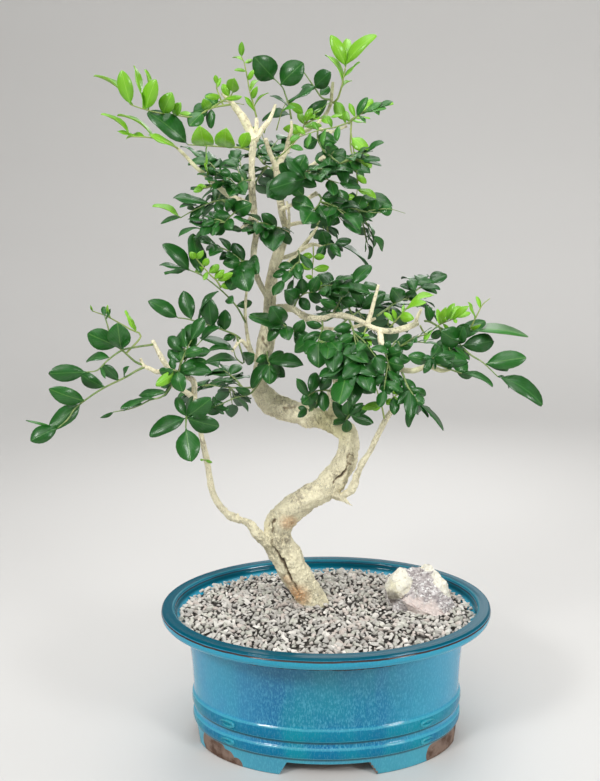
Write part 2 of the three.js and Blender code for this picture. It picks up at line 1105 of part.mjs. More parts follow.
    shoots: [
      [
        1,
        [
          [5, -25, 331], [-2, -35, 333], [-9, -43, 333], [-14, -47, 330],
        ],
        [
          [0.4, 0, -44, 317, 10, 0], [1, -22, -60, 346, 8, 35], [0.9, -7, -37, 349, 10, 0],
        ],
        [],
      ],
      [
        0.9,
        [
          [-2, -35, 333], [-10, -18, 313], [-15, -24, 315],
        ],
        [
          [0.5, -21, -11, 322, 7, 50],
        ],
        [],
      ],
    ],
  },
  {
    name: "low_c",
    tone: "leaf",
    shoots: [
      [
        1,
        [
          [30, -50, 344], [24, -59, 340], [17, -64, 336],
        ],
        [
          [0.5, 39, -67, 336, 7, 15], [1, 8, -59, 327, 8, 0], [0.7, 17, -70, 347, 9, 0],
        ],
        [],
      ],
    ],
  },
  {
    name: "low_d",
    tone: "leaf",
    shoots: [
      [
        1,
        [
          [48, -59, 353], [48, -67, 349], [49, -73, 346],
        ],
        [
          [1, 51, -88, 339, 11, 0], [0.8, 60, -79, 344, 10, 0], [0.6, 34, -59, 338, 8, 35],
        ],
        [],
      ],
    ],
  },
  {
    name: "low_e",
    tone: "leaf",
    shoots: [
      [
        1.1,
        [
          [63, -67, 352], [64, -75, 349], [66, -80, 343], [71, -85, 335], [75, -88, 329],
        ],
        [
          [0.6, 67, -95, 320, 10, 0], [0.98, 90, -76, 318, 8, 65], [0.95, 93, -97, 310, 13, 70],
        ],
        [],
      ],
    ],
  },
  {
    name: "low_f",
    tone: "leaf",
    shoots: [
      [
        1.1,
        [
          [83, -73, 360], [84, -80, 364], [86, -85, 366],
        ],
        [
          [0.4, 66, -86, 368, 10, 0], [0.8, 105, -77, 366, 10, 0], [0.6, 93, -71, 374, 8, 0],
        ],
        [],
      ],
      [
        1,
        [
          [83.6, -77.2, 362.4], [105, -79, 354], [109, -82, 353],
        ],
        [
          [1, 131, -95, 344, 9, 70],
        ],
        [],
      ],
    ],
  },
  {
    name: "sucker_twig",
    tone: "lime",
    shoots: [
      [
        0.9,
        [
          [51, -40, 309], [48, -46, 322], [43, -51, 337], [37, -57, 349],
        ],
        [
          [0.35, 31, -55, 320, 8, 10], [0.3, 41, -39, 316, 5, 0], [0.75, 26, -66, 341, 7, 10],
        ],
        [],
      ],
    ],
  },
  {
    name: "curve_sprout",
    tone: "leaf",
    shoots: [
      [
        1,
        [
          [19, -14, 301], [20, -22, 306], [22, -27, 310],
        ],
        [
          [0.3, 8, -26, 321, 10, 10], [1, 41, -40, 305, 9, 5], [0.9, 38, -30, 317, 9, 35],
        ],
        [],
      ],
    ],
  },
  {
    name: "trunk_front",
    tone: "leaf",
    shoots: [
      [
        1.1,
        [
          [-50, -4, 363], [-49, -15, 358], [-47, -22, 354],
        ],
        [
          [1, -47, -30, 338, 13, 0], [0.8, -18, -32, 355, 14, 40], [0.9, -63, -25, 334, 12, 40],
          [0.5, -59, -2, 340, 10, 20],
        ],
        [],
      ],
      [
        1,
        [
          [-47, -22, 354], [-63, -15, 329], [-77, -27, 326], [-94, -41, 320],
        ],
        [
          [0.97, -117, -29, 317, 12, 0], [0.02, -38, 7, 336, 8, 0],
        ],
        [],
      ],
    ],
  },
];

// Seeded random numbers, the same on every run.
let state = seed;
function random() {
  state = (state * 16807) % 2147483647;
  return state / 2147483647;
}

function vec(p) {
  return new THREE.Vector3(p[0], p[1], p[2]);
}

// Closed solid from a list of corners and a list of triangles.
function solid(corners, faces) {
  const mesh = new SolidMesh({
    numProp: 3,
    vertProperties: new Float32Array(corners.flat()),
    triVerts: new Uint32Array(faces.flat()),
  });
  return new Manifold(mesh);
}

function solidOfGeometry(geometry) {
  const source = geometry.index ? geometry.toNonIndexed() : geometry;
  const position = source.getAttribute("position");
  const corners = [];
  const known = new Map();
  const order = [];
  for (let i = 0; i < position.count; i += 1) {
    const p = [position.getX(i), position.getY(i), position.getZ(i)];
    const key = p.map((value) => Math.round(value * 1000)).join("_");
    if (!known.has(key)) {
      known.set(key, corners.length);
      corners.push(p);
    }
    order.push(known.get(key));
  }
  const faces = [];
  for (let i = 0; i < order.length; i += 3) {
    const [a, b, c] = [order[i], order[i + 1], order[i + 2]];
    if (a !== b && b !== c && c !== a) {
      faces.push([a, b, c]);
    }
  }
  return solid(corners, faces);
}

// Stack of closed rings joined into one skin; the first and last rings are capped by fans.
function loft(rings) {
  const count = rings[0].length;
  const corners = rings.flat();
  const faces = [];
  for (let i = 0; i + 1 < rings.length; i += 1) {
    for (let j = 0; j < count; j += 1) {
      const a = i * count + j;
      const b = i * count + ((j + 1) % count);
      faces.push([a, b, b + count], [a, b + count, a + count]);
    }
  }
  const last = (rings.length - 1) * count;
  for (let j = 1; j + 1 < count; j += 1) {
    faces.push([0, j + 1, j], [last, last + j, last + j + 1]);
  }
  return solid(corners, faces);
}

function oval(a, b, z, sectors = potSectors) {
  const ring = [];
  for (let j = 0; j < sectors; j += 1) {
    const angle = (2 * Math.PI * j) / sectors;
    ring.push([a * Math.cos(angle), b * Math.sin(angle), z]);
  }
  return ring;
}

function ovalStack(levels, sectors = potSectors) {
  return loft(levels.map(([a, b, z]) => oval(a, b, z, sectors)));
}

// Trapezoid bar along X or Y, used to open the gaps between the feet.
function gapBar(bottom, top, height, alongX) {
  const reach = 200;
  const outline = new THREE.Shape([
    new THREE.Vector2(-bottom / 2 - 1, -2),
    new THREE.Vector2(bottom / 2 + 1, -2),
    new THREE.Vector2(top / 2, height),
    new THREE.Vector2(-top / 2, height),
  ]);
  const bar = new THREE.ExtrudeGeometry(outline, { depth: 2 * reach, bevelEnabled: false });
  bar.translate(0, 0, -reach);
  bar.rotateX(Math.PI / 2);
  if (alongX) {
    bar.rotateZ(Math.PI / 2);
  }
  return solidOfGeometry(bar);
}

function drum(radius, low, high, x, sides = 20) {
  const cylinder = new THREE.CylinderGeometry(radius, radius, high - low, sides);
  cylinder.rotateX(Math.PI / 2);
  cylinder.translate(x, 0, (low + high) / 2);
  return solidOfGeometry(cylinder);
}

function box(width, depth, low, high, x, y = 0) {
  const block = new THREE.BoxGeometry(width, depth, high - low);
  block.translate(x, y, (low + high) / 2);
  return solidOfGeometry(block);
}

// Half lengths of the pot's body at a height: the wall flares slowly towards the lip.
function bodyHalf(z) {
  const t = z / (potHeight - 16);
  const flare = 1.2 * t + 5.5 * t * t * t;
  return [footLength / 2 + flare, footWidth / 2 + flare * 1.15];
}

function level(z, offset) {
  const [a, b] = bodyHalf(z);
  return [a + offset, b + offset, z];
}

function makePot() {
  const rimA = rimLength / 2;
  const rimB = rimWidth / 2;
  const lipLow = potHeight - lipHeight;
  const outside = [
    level(0, 0),
    level(17, 0.3),
    level(18.5, bandRise),
    level(27.5, bandRise),
    level(29, 0.4),
    level(33, 0.4),
    level(34.5, bandRise),
    level(45.5, bandRise),
    level(47, 0.2),
    level(76, 0),
    level(100, 0),
    level(113, 0.6),
    [rimA - 2.5, rimB - 2.5, lipLow],
    [rimA, rimB, lipLow + 2.5],
    [rimA, rimB, potHeight - 2.5],
    [rimA - 1.8, rimB - 1.8, potHeight],
    [rimA - ringWidth, rimB - ringWidth, potHeight - 0.4],
    [rimA - ringWidth - 1.6, rimB - ringWidth - 1.6, potHeight - 3],
    [rimA - ringWidth - 3, rimB - ringWidth - 3, potHeight - 7.5],
    level(110, -wall),
    level(70, -wall),
    level(28, -wall - 0.6),
    level(floorTop, -wall - 5),
  ];
  let pot = ovalStack(outside);
  pot = pot.subtract(ovalStack([level(-2, -footWall), level(footHeight + 0.4, -footWall)]));
  pot = pot.subtract(gapBar(frontGapBottom, frontGapTop, footHeight, false));
  pot = pot.subtract(gapBar(sideGapBottom, sideGapTop, footHeight, true));
  for (const x of [-drainSpacing / 2, drainSpacing / 2]) {
    pot = pot.subtract(drum(drainRadius, 5, floorTop + 5, x));
  }
  return pot;
}

// Flat plastic mesh that keeps the soil off a drain hole.
function makeScreen(x) {
  const low = floorTop + gap;
  let plate = box(screenSize, screenSize, low, low + screenThickness, x);
  for (const i of [-1, 1]) {
    for (const j of [-1, 1]) {
      plate = plate.subtract(box(7, 7, low - 1, low + screenThickness + 1, x + i * 5.5, j * 5.5));
    }
  }
  return plate;
}

// Tube with flat ends around a centre line of [x, y, z, radius] points.
function tube(line, sides) {
  const points = line.map(vec);
  const rings = [];
  let side = new THREE.Vector3(0, -1, 0);
  for (let i = 0; i < points.length; i += 1) {
    const before = points[Math.max(i - 1, 0)];
    const after = points[Math.min(i + 1, points.length - 1)];
    const along = after.clone().sub(before).normalize();
    side = side.clone().addScaledVector(along, -side.dot(along));
    if (side.length() < 0.2) {
      side = new THREE.Vector3(1, 0, 0).addScaledVector(along, -along.x);
    }
    side.normalize();
    const across = along.clone().cross(side);
    const ring = [];
    for (let j = 0; j < sides; j += 1) {
      const angle = (2 * Math.PI * j) / sides;
      const corner = points[i].clone();
      corner.addScaledVector(side, line[i][3] * Math.cos(angle));
      corner.addScaledVector(across, line[i][3] * Math.sin(angle));
      ring.push(corner.toArray());
    }
    rings.push(ring);
  }
  return loft(rings);
}

function branchSides(name) {
  if (name === "trunk") {
    return 8;
  }
  return branches[name][0][3] > 3.6 ? 5 : 3;
}

function makeTrunk() {
  const tubes = Object.keys(branches).map((name) => tube(branches[name], branchSides(name)));
  return Manifold.union(tubes);
}

// Oval layer that fills the pot between two heights, a small gap inside the wall.
function layer(low, high) {
  const slack = 3 * gap;
  const inner = (z) => {
    const lipInside = potHeight - 7.5;
    if (z >= lipInside) {
      const t = (z - lipInside) / 4.5;
      const inset = ringWidth + 3 - 1.4 * t + slack;
      return [rimLength / 2 - inset, rimWidth / 2 - inset];
    }
    const cut = -wall - slack - (z < 30 ? (30 - z) * 0.62 : 0);
    const body = level(z, cut);
    if (z > 110) {
      const t = (z - 110) / (lipInside - 110);
      const rimInset = ringWidth + 3 + slack;
      const wide = [rimLength / 2 - rimInset, rimWidth / 2 - rimInset];
      const base = level(110, -wall - slack);
      return [base[0] + (wide[0] - base[0]) * t, base[1] + (wide[1] - base[1]) * t];
    }
    return body;
  };
  const levels = [low, ...[30, 70, 110, potHeight - 7.5].filter((z) => z > low && z < high), high];
  return { inner, levels };
}

function makeSoil(trunkSocket, screenBoxes) {
  const { inner, levels } = layer(floorTop + gap, soilTop);
  let soil = ovalStack(levels.map((z) => [...inner(z).slice(0, 2), z]));
  soil = soil.subtract(trunkSocket);
  for (const block of screenBoxes) {
    soil = soil.subtract(block);
  }
  return soil;
}

// Gravel: a bumpy sheet of grains, highest in the middle, over the soil.
function makeGravel(trunkSocket, rockSocket) {
  const low = soilTop + gap;
  const { inner, levels } = layer(low, gravelTop - 2);
  const rings = levels.map((z) => oval(inner(z)[0], inner(z)[1], z));
  const [a, b] = inner(gravelTop - 2);
  const steps = 7;
  for (let i = 1; i < steps; i += 1) {
    const part = 1 - i / steps;
    const spread = 0.97 * part + 0.03;
    const ring = oval(a * spread, b * spread, 0);
    for (const corner of ring) {
      const settle = 1.6 * (1 - part * part);
      corner[0] += (random() - 0.5) * 3 * part;
      corner[1] += (random() - 0.5) * 3 * part;
      corner[2] = gravelTop - grainRelief / 2 + settle + (random() - 0.5) * grainRelief;
    }
    rings.push(ring);
  }
  const gravel = loft(rings);
  return gravel.subtract(trunkSocket).subtract(rockSocket);
}

function rockLobe(points, grow) {
  const corners = points.map(vec);
  const middle = new THREE.Vector3();
  for (const corner of corners) {
    middle.addScaledVector(corner, 1 / corners.length);
  }
  const moved = corners.map((corner) => corner.clone().sub(middle).multiplyScalar(grow).add(middle));
  return solidOfGeometry(new ConvexGeometry(moved));
}

function makeRock(grow = 1) {
  return Manifold.union(rockLobes.map((points) => rockLobe(points, grow)));
}

// One leaflet: a thin plate with a rounded outline, arched a little along its length.
// The leaflet starts inside its stalk at `root`; `face` is the way its upper side looks.
function blade(root, tip, width, face) {
  const along = tip.clone().sub(root);
  const length = along.length();
  along.normalize();
  const up = face.clone().addScaledVector(along, -face.dot(along)).normalize();
  const across = along.clone().cross(up);
  const outline = length > 38 ? longOutline : length > 25 ? middleOutline : shortOutline;
  const half = bladeThickness / 2;
  const corners = [];
  for (const lift of [half, -half]) {
    for (const [part, spread] of outline) {
      const arch = leafArch * length * (4 * part * (1 - part));
      const middle = root.clone().addScaledVector(along, part * length).addScaledVector(up, arch + lift);
      if (spread === 0) {
        corners.push(middle.toArray());
      } else {
        for (const side of [1, -1]) {
          corners.push(middle.clone().addScaledVector(across, (side * spread * width) / 2).toArray());
        }
      }
    }
  }
  const count = corners.length / 2;
  const pairs = Math.floor((count - 1) / 2);
  const pointed = count % 2 === 0;
  const rim = [0];
  for (let i = 0; i < pairs; i += 1) {
    rim.push(1 + 2 * i);
  }
  if (pointed) {
    rim.push(count - 1);
  }
  for (let i = pairs - 1; i >= 0; i -= 1) {
    rim.push(2 + 2 * i);
  }
  const faces = [[0, 1, 2]];
  for (let i = 0; i + 1 < pairs; i += 1) {
    const a = 1 + 2 * i;
    faces.push([a, a + 2, a + 3], [a, a + 3, a + 1]);
  }
  if (pointed) {
    faces.push([count - 3, count - 1, count - 2]);
  }
  const under = faces.map(([p, q, r]) => [p + count, r + count, q + count]);
  const edge = [];
  for (let i = 0; i < rim.length; i += 1) {
    const p = rim[i];
    const q = rim[(i + 1) % rim.length];
    edge.push([p + count, q + count, q], [p + count, q, p]);
  }
  const all = [...faces, ...under, ...edge];
  const plate = solid(corners, all);
  return plate.volume() > 0 ? plate : solid(corners, all.map(([p, q, r]) => [p, r, q]));
}

// Point and direction at a share of a centre line's length.
function along(line, share) {
  const points = line.map(vec);
  const lengths = points.slice(1).map((point, i) => point.distanceTo(points[i]));
  let left = share * lengths.reduce((sum, value) => sum + value, 0);
  let i = 0;
  while (i < lengths.length - 1 && left > lengths[i]) {
    left -= lengths[i];
    i += 1;
  }
  const direction = points[i + 1].clone().sub(points[i]).normalize();
  return { point: points[i].clone().addScaledVector(direction, left), direction };
}

// The upper side of a leaf: towards the front at turn 0, upwards at turn 90.
function leafFace(direction, turn) {
  const front = new THREE.Vector3(0, -1, 0).addScaledVector(direction, direction.y).normalize();
  const other = direction.clone().cross(front);
  if (other.z < 0) {
    other.negate();
  }
  const angle = THREE.MathUtils.degToRad(turn);
  return front.multiplyScalar(Math.cos(angle)).addScaledVector(other, Math.sin(angle));
}

// Leaflets along a frond, to the left and right in turn, growing towards its tip.
function frondLeaves(stalk, count, length) {
  const ends = [vec(stalk[0]), vec(stalk[stalk.length - 1])];
  const direction = ends[1].clone().sub(ends[0]).normalize();
  const face = new THREE.Vector3(0.1, -0.45, 0.9);
  face.addScaledVector(direction, -face.dot(direction)).normalize();
  const across = direction.clone().cross(face);
  const leaves = [];
  for (let i = 0; i < count; i += 1) {
    const last = i === count - 1;
    const share = last ? 1 : 0.32 + (0.62 * i) / Math.max(count - 1, 1);
    const side = i % 2 ? 1 : -1;
    const size = length * (0.72 + 0.28 * share) * (0.92 + 0.16 * random());
    const aim = direction.clone().multiplyScalar(last ? 1 : 0.55);
    aim.addScaledVector(across, last ? 0.1 * side : side * 0.8);
    aim.addScaledVector(face, (random() - 0.62) * 0.5);
    const root = along(stalk, share).point;
    const tilt = face.clone().addScaledVector(across, (random() - 0.5) * 0.9);
    const width = size * (0.52 + 0.08 * random());
    leaves.push({ root, tip: root.clone().addScaledVector(aim.normalize(), size), width, face: tilt });
  }
  return leaves;
}

function touches(piece, others) {
  const limits = piece.boundingBox();
  for (const other of others) {
    const far = other.limits;
    let apart = false;
    for (let k = 0; k < 3; k += 1) {
      if (limits.min[k] > far.max[k] + 0.5 || limits.max[k] < far.min[k] - 0.5) {
        apart = true;
      }
    }
    if (!apart && piece.minGap(other.piece, 0.6) < 0.3) {
      return true;
    }
  }
  return false;
}

// Every shoot first, then the leaves one by one. A leaf that would meet another spray or the wood
// is swung or turned about its own root until it is clear, and left off if there is no room.
const swings = [
  [0, 0, 0, 0], [0, -5, 0, 0], [0, 5, 0, 0], [0, 0, 5, 20], [0, 0, -5, -20], [5, -4, 0, 15], [-5, -4, 0, -15],
  [0, -10, 0, 30], [0, 10, 0, -30], [4, 4, 6, 35], [-4, 4, -6, 0], [0, -14, 3, 0], [0, 14, 3, 0],
  [7, -8, -5, 30], [-7, -8, 5, -30], [7, 8, 5, 45], [-7, 8, -5, 60],
];

// The first of a leaf's possible poses that is clear of the given pieces, or null.
function settle(leaf, others) {
  const size = leaf.tip.distanceTo(leaf.root);
  for (const [dx, dy, dz, turn] of swings) {
    const aim = leaf.tip.clone().add(new THREE.Vector3(dx, dy, dz)).sub(leaf.root).setLength(size);
    const face = leaf.face.clone().applyAxisAngle(aim.clone().normalize(), THREE.MathUtils.degToRad(turn));
    const plate = blade(leaf.root, leaf.root.clone().add(aim), leaf.width, face);
    if (!touches(plate, others)) {
      return plate;
    }
  }
  return null;
}

function growSprays(wood) {
  const placed = [{ owner: "wood", piece: wood, limits: wood.boundingBox() }];
  const bodies = {};
  const record = (owner, piece, root) => {
    placed.push({ owner, piece, root, limits: piece.boundingBox() });
    bodies[owner].push(piece);
  };
  const foreign = (owner) => placed.filter((entry) => entry.owner !== owner);
  const growing = [];
  for (const spray of sprays) {
    const grown = [];
    bodies[spray.name] = [];
    growing.push({ name: spray.name, leaves: grown });
    spray.shoots.forEach(([radius, points, leaves, fronds], index) => {
      const line = points.map((point) => [...point, radius]);
      if (index === 0) {
        startClear(line, wood);
      }
      record(spray.name, tube(line, 3));
      for (const [share, x, y, z, width, turn] of leaves) {
        const { point } = along(line, share);
        const tip = new THREE.Vector3(x, y, z);
        const direction = tip.clone().sub(point).normalize();
        grown.push({ root: point, tip, width, face: leafFace(direction, turn) });
      }
      for (const [share, x, y, z, count, length] of fronds) {
        const { point } = along(line, share);
        for (const dy of [0, 7, -7, 14, -14]) {
          const tip = new THREE.Vector3(x, y + dy, z);
          const middle = point.clone().lerp(tip, 0.5).add(new THREE.Vector3(0, 0, 2));
          const stalk = [[...point.toArray(), 1], [...middle.toArray(), 1], [...tip.toArray(), 1]];
          const rachis = tube(stalk, 3);
          if (!touches(rachis, foreign(spray.name))) {
            record(spray.name, rachis);
            grown.push(...frondLeaves(stalk, count, length));
            break;
          }
        }
      }
    });
  }
  for (const { name, leaves } of growing) {
    for (const leaf of leaves) {
      const others = foreign(name);
      const sisters = placed.filter((entry) => entry.owner === name && entry.root?.distanceTo(leaf.root) > 4);
      const plate = settle(leaf, [...others, ...sisters]) ?? settle(leaf, others);
      if (plate) {
        record(name, plate, leaf.root);
      }
    }
  }
  return bodies;
}

// Moves the first point of a shoot out along it until it just clears the wood.
function startClear(line, wood) {
  const start = vec(line[0]);
  const next = vec(line[1]);
  const direction = next.clone().sub(start).normalize();
  const reach = next.distanceTo(start);
  for (let step = 0; step < reach - 1; step += 0.4) {
    const point = start.clone().addScaledVector(direction, step);
    const trial = tube([[...point.toArray(), line[0][3]], [...next.toArray(), line[1][3]]], 4);
    if (trial.minGap(wood, 1) >= 0.3) {
      line[0] = [...point.toArray(), line[0][3]];
      return;
    }
  }
}

// Widened copies of the trunk's foot and of the rock, for the plain holes they stand in.
function makeTrunkSocket() {
  const foot = branches.trunk.slice(0, 3).map(([x, y, z, r]) => [x, y, z, r + 0.5]);
  const away = vec(foot[0]).sub(vec(foot[1])).setLength(0.6);
  foot[0] = [foot[0][0] + away.x, foot[0][1] + away.y, foot[0][2] + away.z, foot[0][3]];
  return tube(foot, 8);
}

function addMesh(group, name, body, colour, roughness, metalness = 0) {
  const data = body.getMesh();
  const geometry = new THREE.BufferGeometry();
  const positions = new Float32Array(data.numVert * 3);
  for (let i = 0; i < data.numVert; i += 1) {
    for (let k = 0; k < 3; k += 1) {
      positions[i * 3 + k] = data.vertProperties[i * data.numProp + k];
    }
  }
  geometry.setAttribute("position", new THREE.BufferAttribute(positions, 3));
  geometry.setIndex(new THREE.BufferAttribute(new Uint32Array(data.triVerts), 1));
  geometry.computeVertexNormals();
  const material = new THREE.MeshStandardMaterial({ color: colour, roughness, metalness });
  material.name = name;
  const mesh = new THREE.Mesh(geometry, material);
  mesh.name = name;
  group.add(mesh);
  return mesh;
}

const tree = new THREE.Group();
const potGroup = new THREE.Group();
const plantGroup = new THREE.Group();
const foliage = new THREE.Group();

const screenAt = [-drainSpacing / 2, drainSpacing / 2];
const screenRoom = screenAt.map((x) => {
  const side = screenSize + 2 * gap;
  return box(side, side, floorTop - 1, floorTop + screenThickness + 2 * gap, x);
});
const wood = makeTrunk();
const trunkSocket = makeTrunkSocket();

addMesh(potGroup, "pot", makePot(), colours.glaze, 0.18);
addMesh(potGroup, "drain_screen_left", makeScreen(screenAt[0]), colours.screen, 0.6);
addMesh(potGroup, "drain_screen_right", makeScreen(screenAt[1]), colours.screen, 0.6);
addMesh(potGroup, "soil", makeSoil(trunkSocket, screenRoom), colours.soil, 0.95);
addMesh(potGroup, "gravel", makeGravel(trunkSocket, makeRock(1.03)), colours.gravel, 0.9);
addMesh(potGroup, "rock", makeRock(), colours.rock, 0.85);
addMesh(plantGroup, "trunk", wood, colours.bark, 0.8);

const bodies = growSprays(wood);
for (const { name, tone } of sprays) {
  addMesh(foliage, `spray_${name}`, Manifold.union(bodies[name]), colours[tone], 0.4);
}

plantGroup.add(foliage);
tree.add(potGroup, plantGroup);

// The origin is the middle of the bounding box's bottom face.
const limits = new THREE.Box3().setFromObject(tree);
const centre = limits.getCenter(new THREE.Vector3());
tree.position.set(-centre.x, -centre.y, -limits.min.z);
tree.updateMatrixWorld(true);

export default tree;
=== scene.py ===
"""Orange jasmine bonsai in its oval glazed pot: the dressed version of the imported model.

Every size is in millimetres, measured from the middle of the pot's footprint, and turned into
metres in the frame's own place by `at`. The wood and the leafy shoots are centre lines; leaflets
and gravel grains are placed by Geometry Nodes.
"""

import json
import math
import random
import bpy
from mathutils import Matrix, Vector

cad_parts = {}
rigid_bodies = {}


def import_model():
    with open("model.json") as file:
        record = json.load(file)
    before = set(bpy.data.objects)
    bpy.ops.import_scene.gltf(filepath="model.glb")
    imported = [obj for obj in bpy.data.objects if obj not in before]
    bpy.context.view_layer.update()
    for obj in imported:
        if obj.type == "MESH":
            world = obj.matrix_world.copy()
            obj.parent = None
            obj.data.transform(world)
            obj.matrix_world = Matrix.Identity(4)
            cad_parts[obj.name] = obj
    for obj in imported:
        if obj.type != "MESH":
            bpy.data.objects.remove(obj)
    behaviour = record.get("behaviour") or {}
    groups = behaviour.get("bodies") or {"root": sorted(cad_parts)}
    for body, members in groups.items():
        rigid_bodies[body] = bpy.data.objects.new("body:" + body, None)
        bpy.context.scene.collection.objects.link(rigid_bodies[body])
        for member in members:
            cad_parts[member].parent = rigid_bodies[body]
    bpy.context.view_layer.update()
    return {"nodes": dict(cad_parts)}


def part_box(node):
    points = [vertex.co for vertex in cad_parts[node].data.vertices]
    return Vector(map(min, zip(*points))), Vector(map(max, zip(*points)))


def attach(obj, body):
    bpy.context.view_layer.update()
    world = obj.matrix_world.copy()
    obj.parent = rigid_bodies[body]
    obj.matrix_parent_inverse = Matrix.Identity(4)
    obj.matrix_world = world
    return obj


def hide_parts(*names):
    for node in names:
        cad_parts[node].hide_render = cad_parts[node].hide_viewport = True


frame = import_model()

import bmesh
import bpy
from mathutils import Euler, Matrix, Vector, noise

bl_info = {
    "name": "Orange jasmine bonsai",
    "version": (1, 0, 0),
    "blender": (4, 5, 0),
    "location": "View3D > Sidebar > Bonsai",
    "description": "Builds a bonsai tree with its glazed pot, gravel and rock over the packed model",
    "category": "Object",
}

MM = 0.001
POT_LOW, POT_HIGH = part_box("pot")
MIDDLE = Vector(((POT_LOW.x + POT_HIGH.x) / 2, (POT_LOW.y + POT_HIGH.y) / 2, 0))
RIM_A = (POT_HIGH.x - POT_LOW.x) / 2 / MM
RIM_B = (POT_HIGH.y - POT_LOW.y) / 2 / MM
POT_TOP = POT_HIGH.z / MM


def at(x, y, z):
    """A place given in millimetres from the middle of the pot's footprint, in metres."""
    return Vector((x, y, z)) * MM + MIDDLE


# Settings


def colour_setting(name, description, *channels):
    options = {"name": name, "description": description, "default": (*channels, 1)}
    return bpy.props.FloatVectorProperty(subtype="COLOR", size=4, **options)


def length_setting(name, description, default, precision=4):
    options = {"name": name, "description": description, "default": default}
    return bpy.props.FloatProperty(unit="LENGTH", precision=precision, **options)


def seed_setting(description, default):
    return bpy.props.IntProperty(name="Seed", description=description, default=default)


class PotSettings(bpy.types.PropertyGroup):
    glaze: colour_setting("Glaze", "Main colour of the glazed wall", 0.002, 0.225, 0.335)
    dark: colour_setting("Deep glaze", "Thick glaze on the rim and the inner wall", 0, 0.088, 0.135)
    pale: colour_setting("Pale glaze", "Light runs and specks in the glaze", 0.11, 0.50, 0.66)
    clay: colour_setting("Clay", "Bare clay under the feet and where the glaze breaks", 0.10, 0.05, 0.03)
    sectors: bpy.props.IntProperty(
        name="Sectors", description="Steps around the oval", default=160, min=32, max=256
    )
    foot_gap: bpy.props.FloatProperty(
        name="Front gap", description="Width of the front gap at its top, in millimetres", default=71
    )


class GravelSettings(bpy.types.PropertyGroup):
    grain: length_setting("Grain size", "Middle size of a grain", 0.0054)
    spacing: length_setting("Spacing", "Least distance between two grains' middles", 0.0037)
    stone: colour_setting("Grain colour", "Middle colour of the grains", 0.60, 0.575, 0.53)
    # The gap colour is painted shade: the dark bed that shows between the grains.
    gaps: colour_setting("Gap colour", "Dark grit between the grains", 0.05, 0.045, 0.039)
    seed: seed_setting("Draw of the grains", 11)


class RockSettings(bpy.types.PropertyGroup):
    crystal: colour_setting("Crystal", "Grey-mauve crystal face", 0.58, 0.53, 0.52)
    crust: colour_setting("Crust", "Cream crust on the left lobe and the back", 0.97, 0.94, 0.82)
    blush: colour_setting("Blush", "Pinkish lower ledge", 0.82, 0.69, 0.63)


class WoodSettings(bpy.types.PropertyGroup):
    bark: colour_setting("Bark", "Pale cream bark", 0.97, 0.90, 0.64)
    shade: colour_setting("Shaded bark", "Greyer, older bark", 0.60, 0.51, 0.34)
    # The crack colour is painted shade in the grooves and knots, and the real colour of the bark's dark
    # specks.
    crack: colour_setting("Crack", "Dark inside of cracks, knots and specks", 0.035, 0.025, 0.016)
    relief: length_setting("Relief", "Height of the bark's lumps", 0.0016)


class LeafSettings(bpy.types.PropertyGroup):
    old: colour_setting("Old leaf", "Upper side of an old leaflet", 0.010, 0.085, 0.008)
    middle: colour_setting("Half-grown leaf", "Upper side of a younger leaflet", 0.05, 0.24, 0.03)
    young: colour_setting("Young leaf", "Upper side of a new leaflet", 0.21, 0.52, 0.02)
    stalk: colour_setting("Stalk", "Leaf stalks and green shoots", 0.30, 0.40, 0.09)
    thickness: length_setting("Thickness", "Thickness of a middling leaflet", 0.0004, precision=5)
    seed: seed_setting("Draw of the small leaflets", 4310)


class StageSettings(bpy.types.PropertyGroup):
    floor: colour_setting("Floor", "Floor colour", 0.68, 0.67, 0.65)
    power: bpy.props.FloatProperty(
        name="Key light", description="Power of the main light", default=8.6, unit="POWER"
    )
    focal: bpy.props.FloatProperty(
        name="Focal length", description="Camera's focal length", default=39.18, unit="CAMERA"
    )


def part_setting(kind, name, description):
    return bpy.props.PointerProperty(type=kind, name=name, description=description)


class BonsaiSettings(bpy.types.PropertyGroup):
    pot: part_setting(PotSettings, "Pot", "Glazed pot")
    gravel: part_setting(GravelSettings, "Gravel", "Gravel")
    rock: part_setting(RockSettings, "Rock", "Rock")
    wood: part_setting(WoodSettings, "Wood", "Trunk and twigs")
    leaf: part_setting(LeafSettings, "Leaves", "Leaflets")
    stage: part_setting(StageSettings, "Stage", "Floor and light")


# Materials


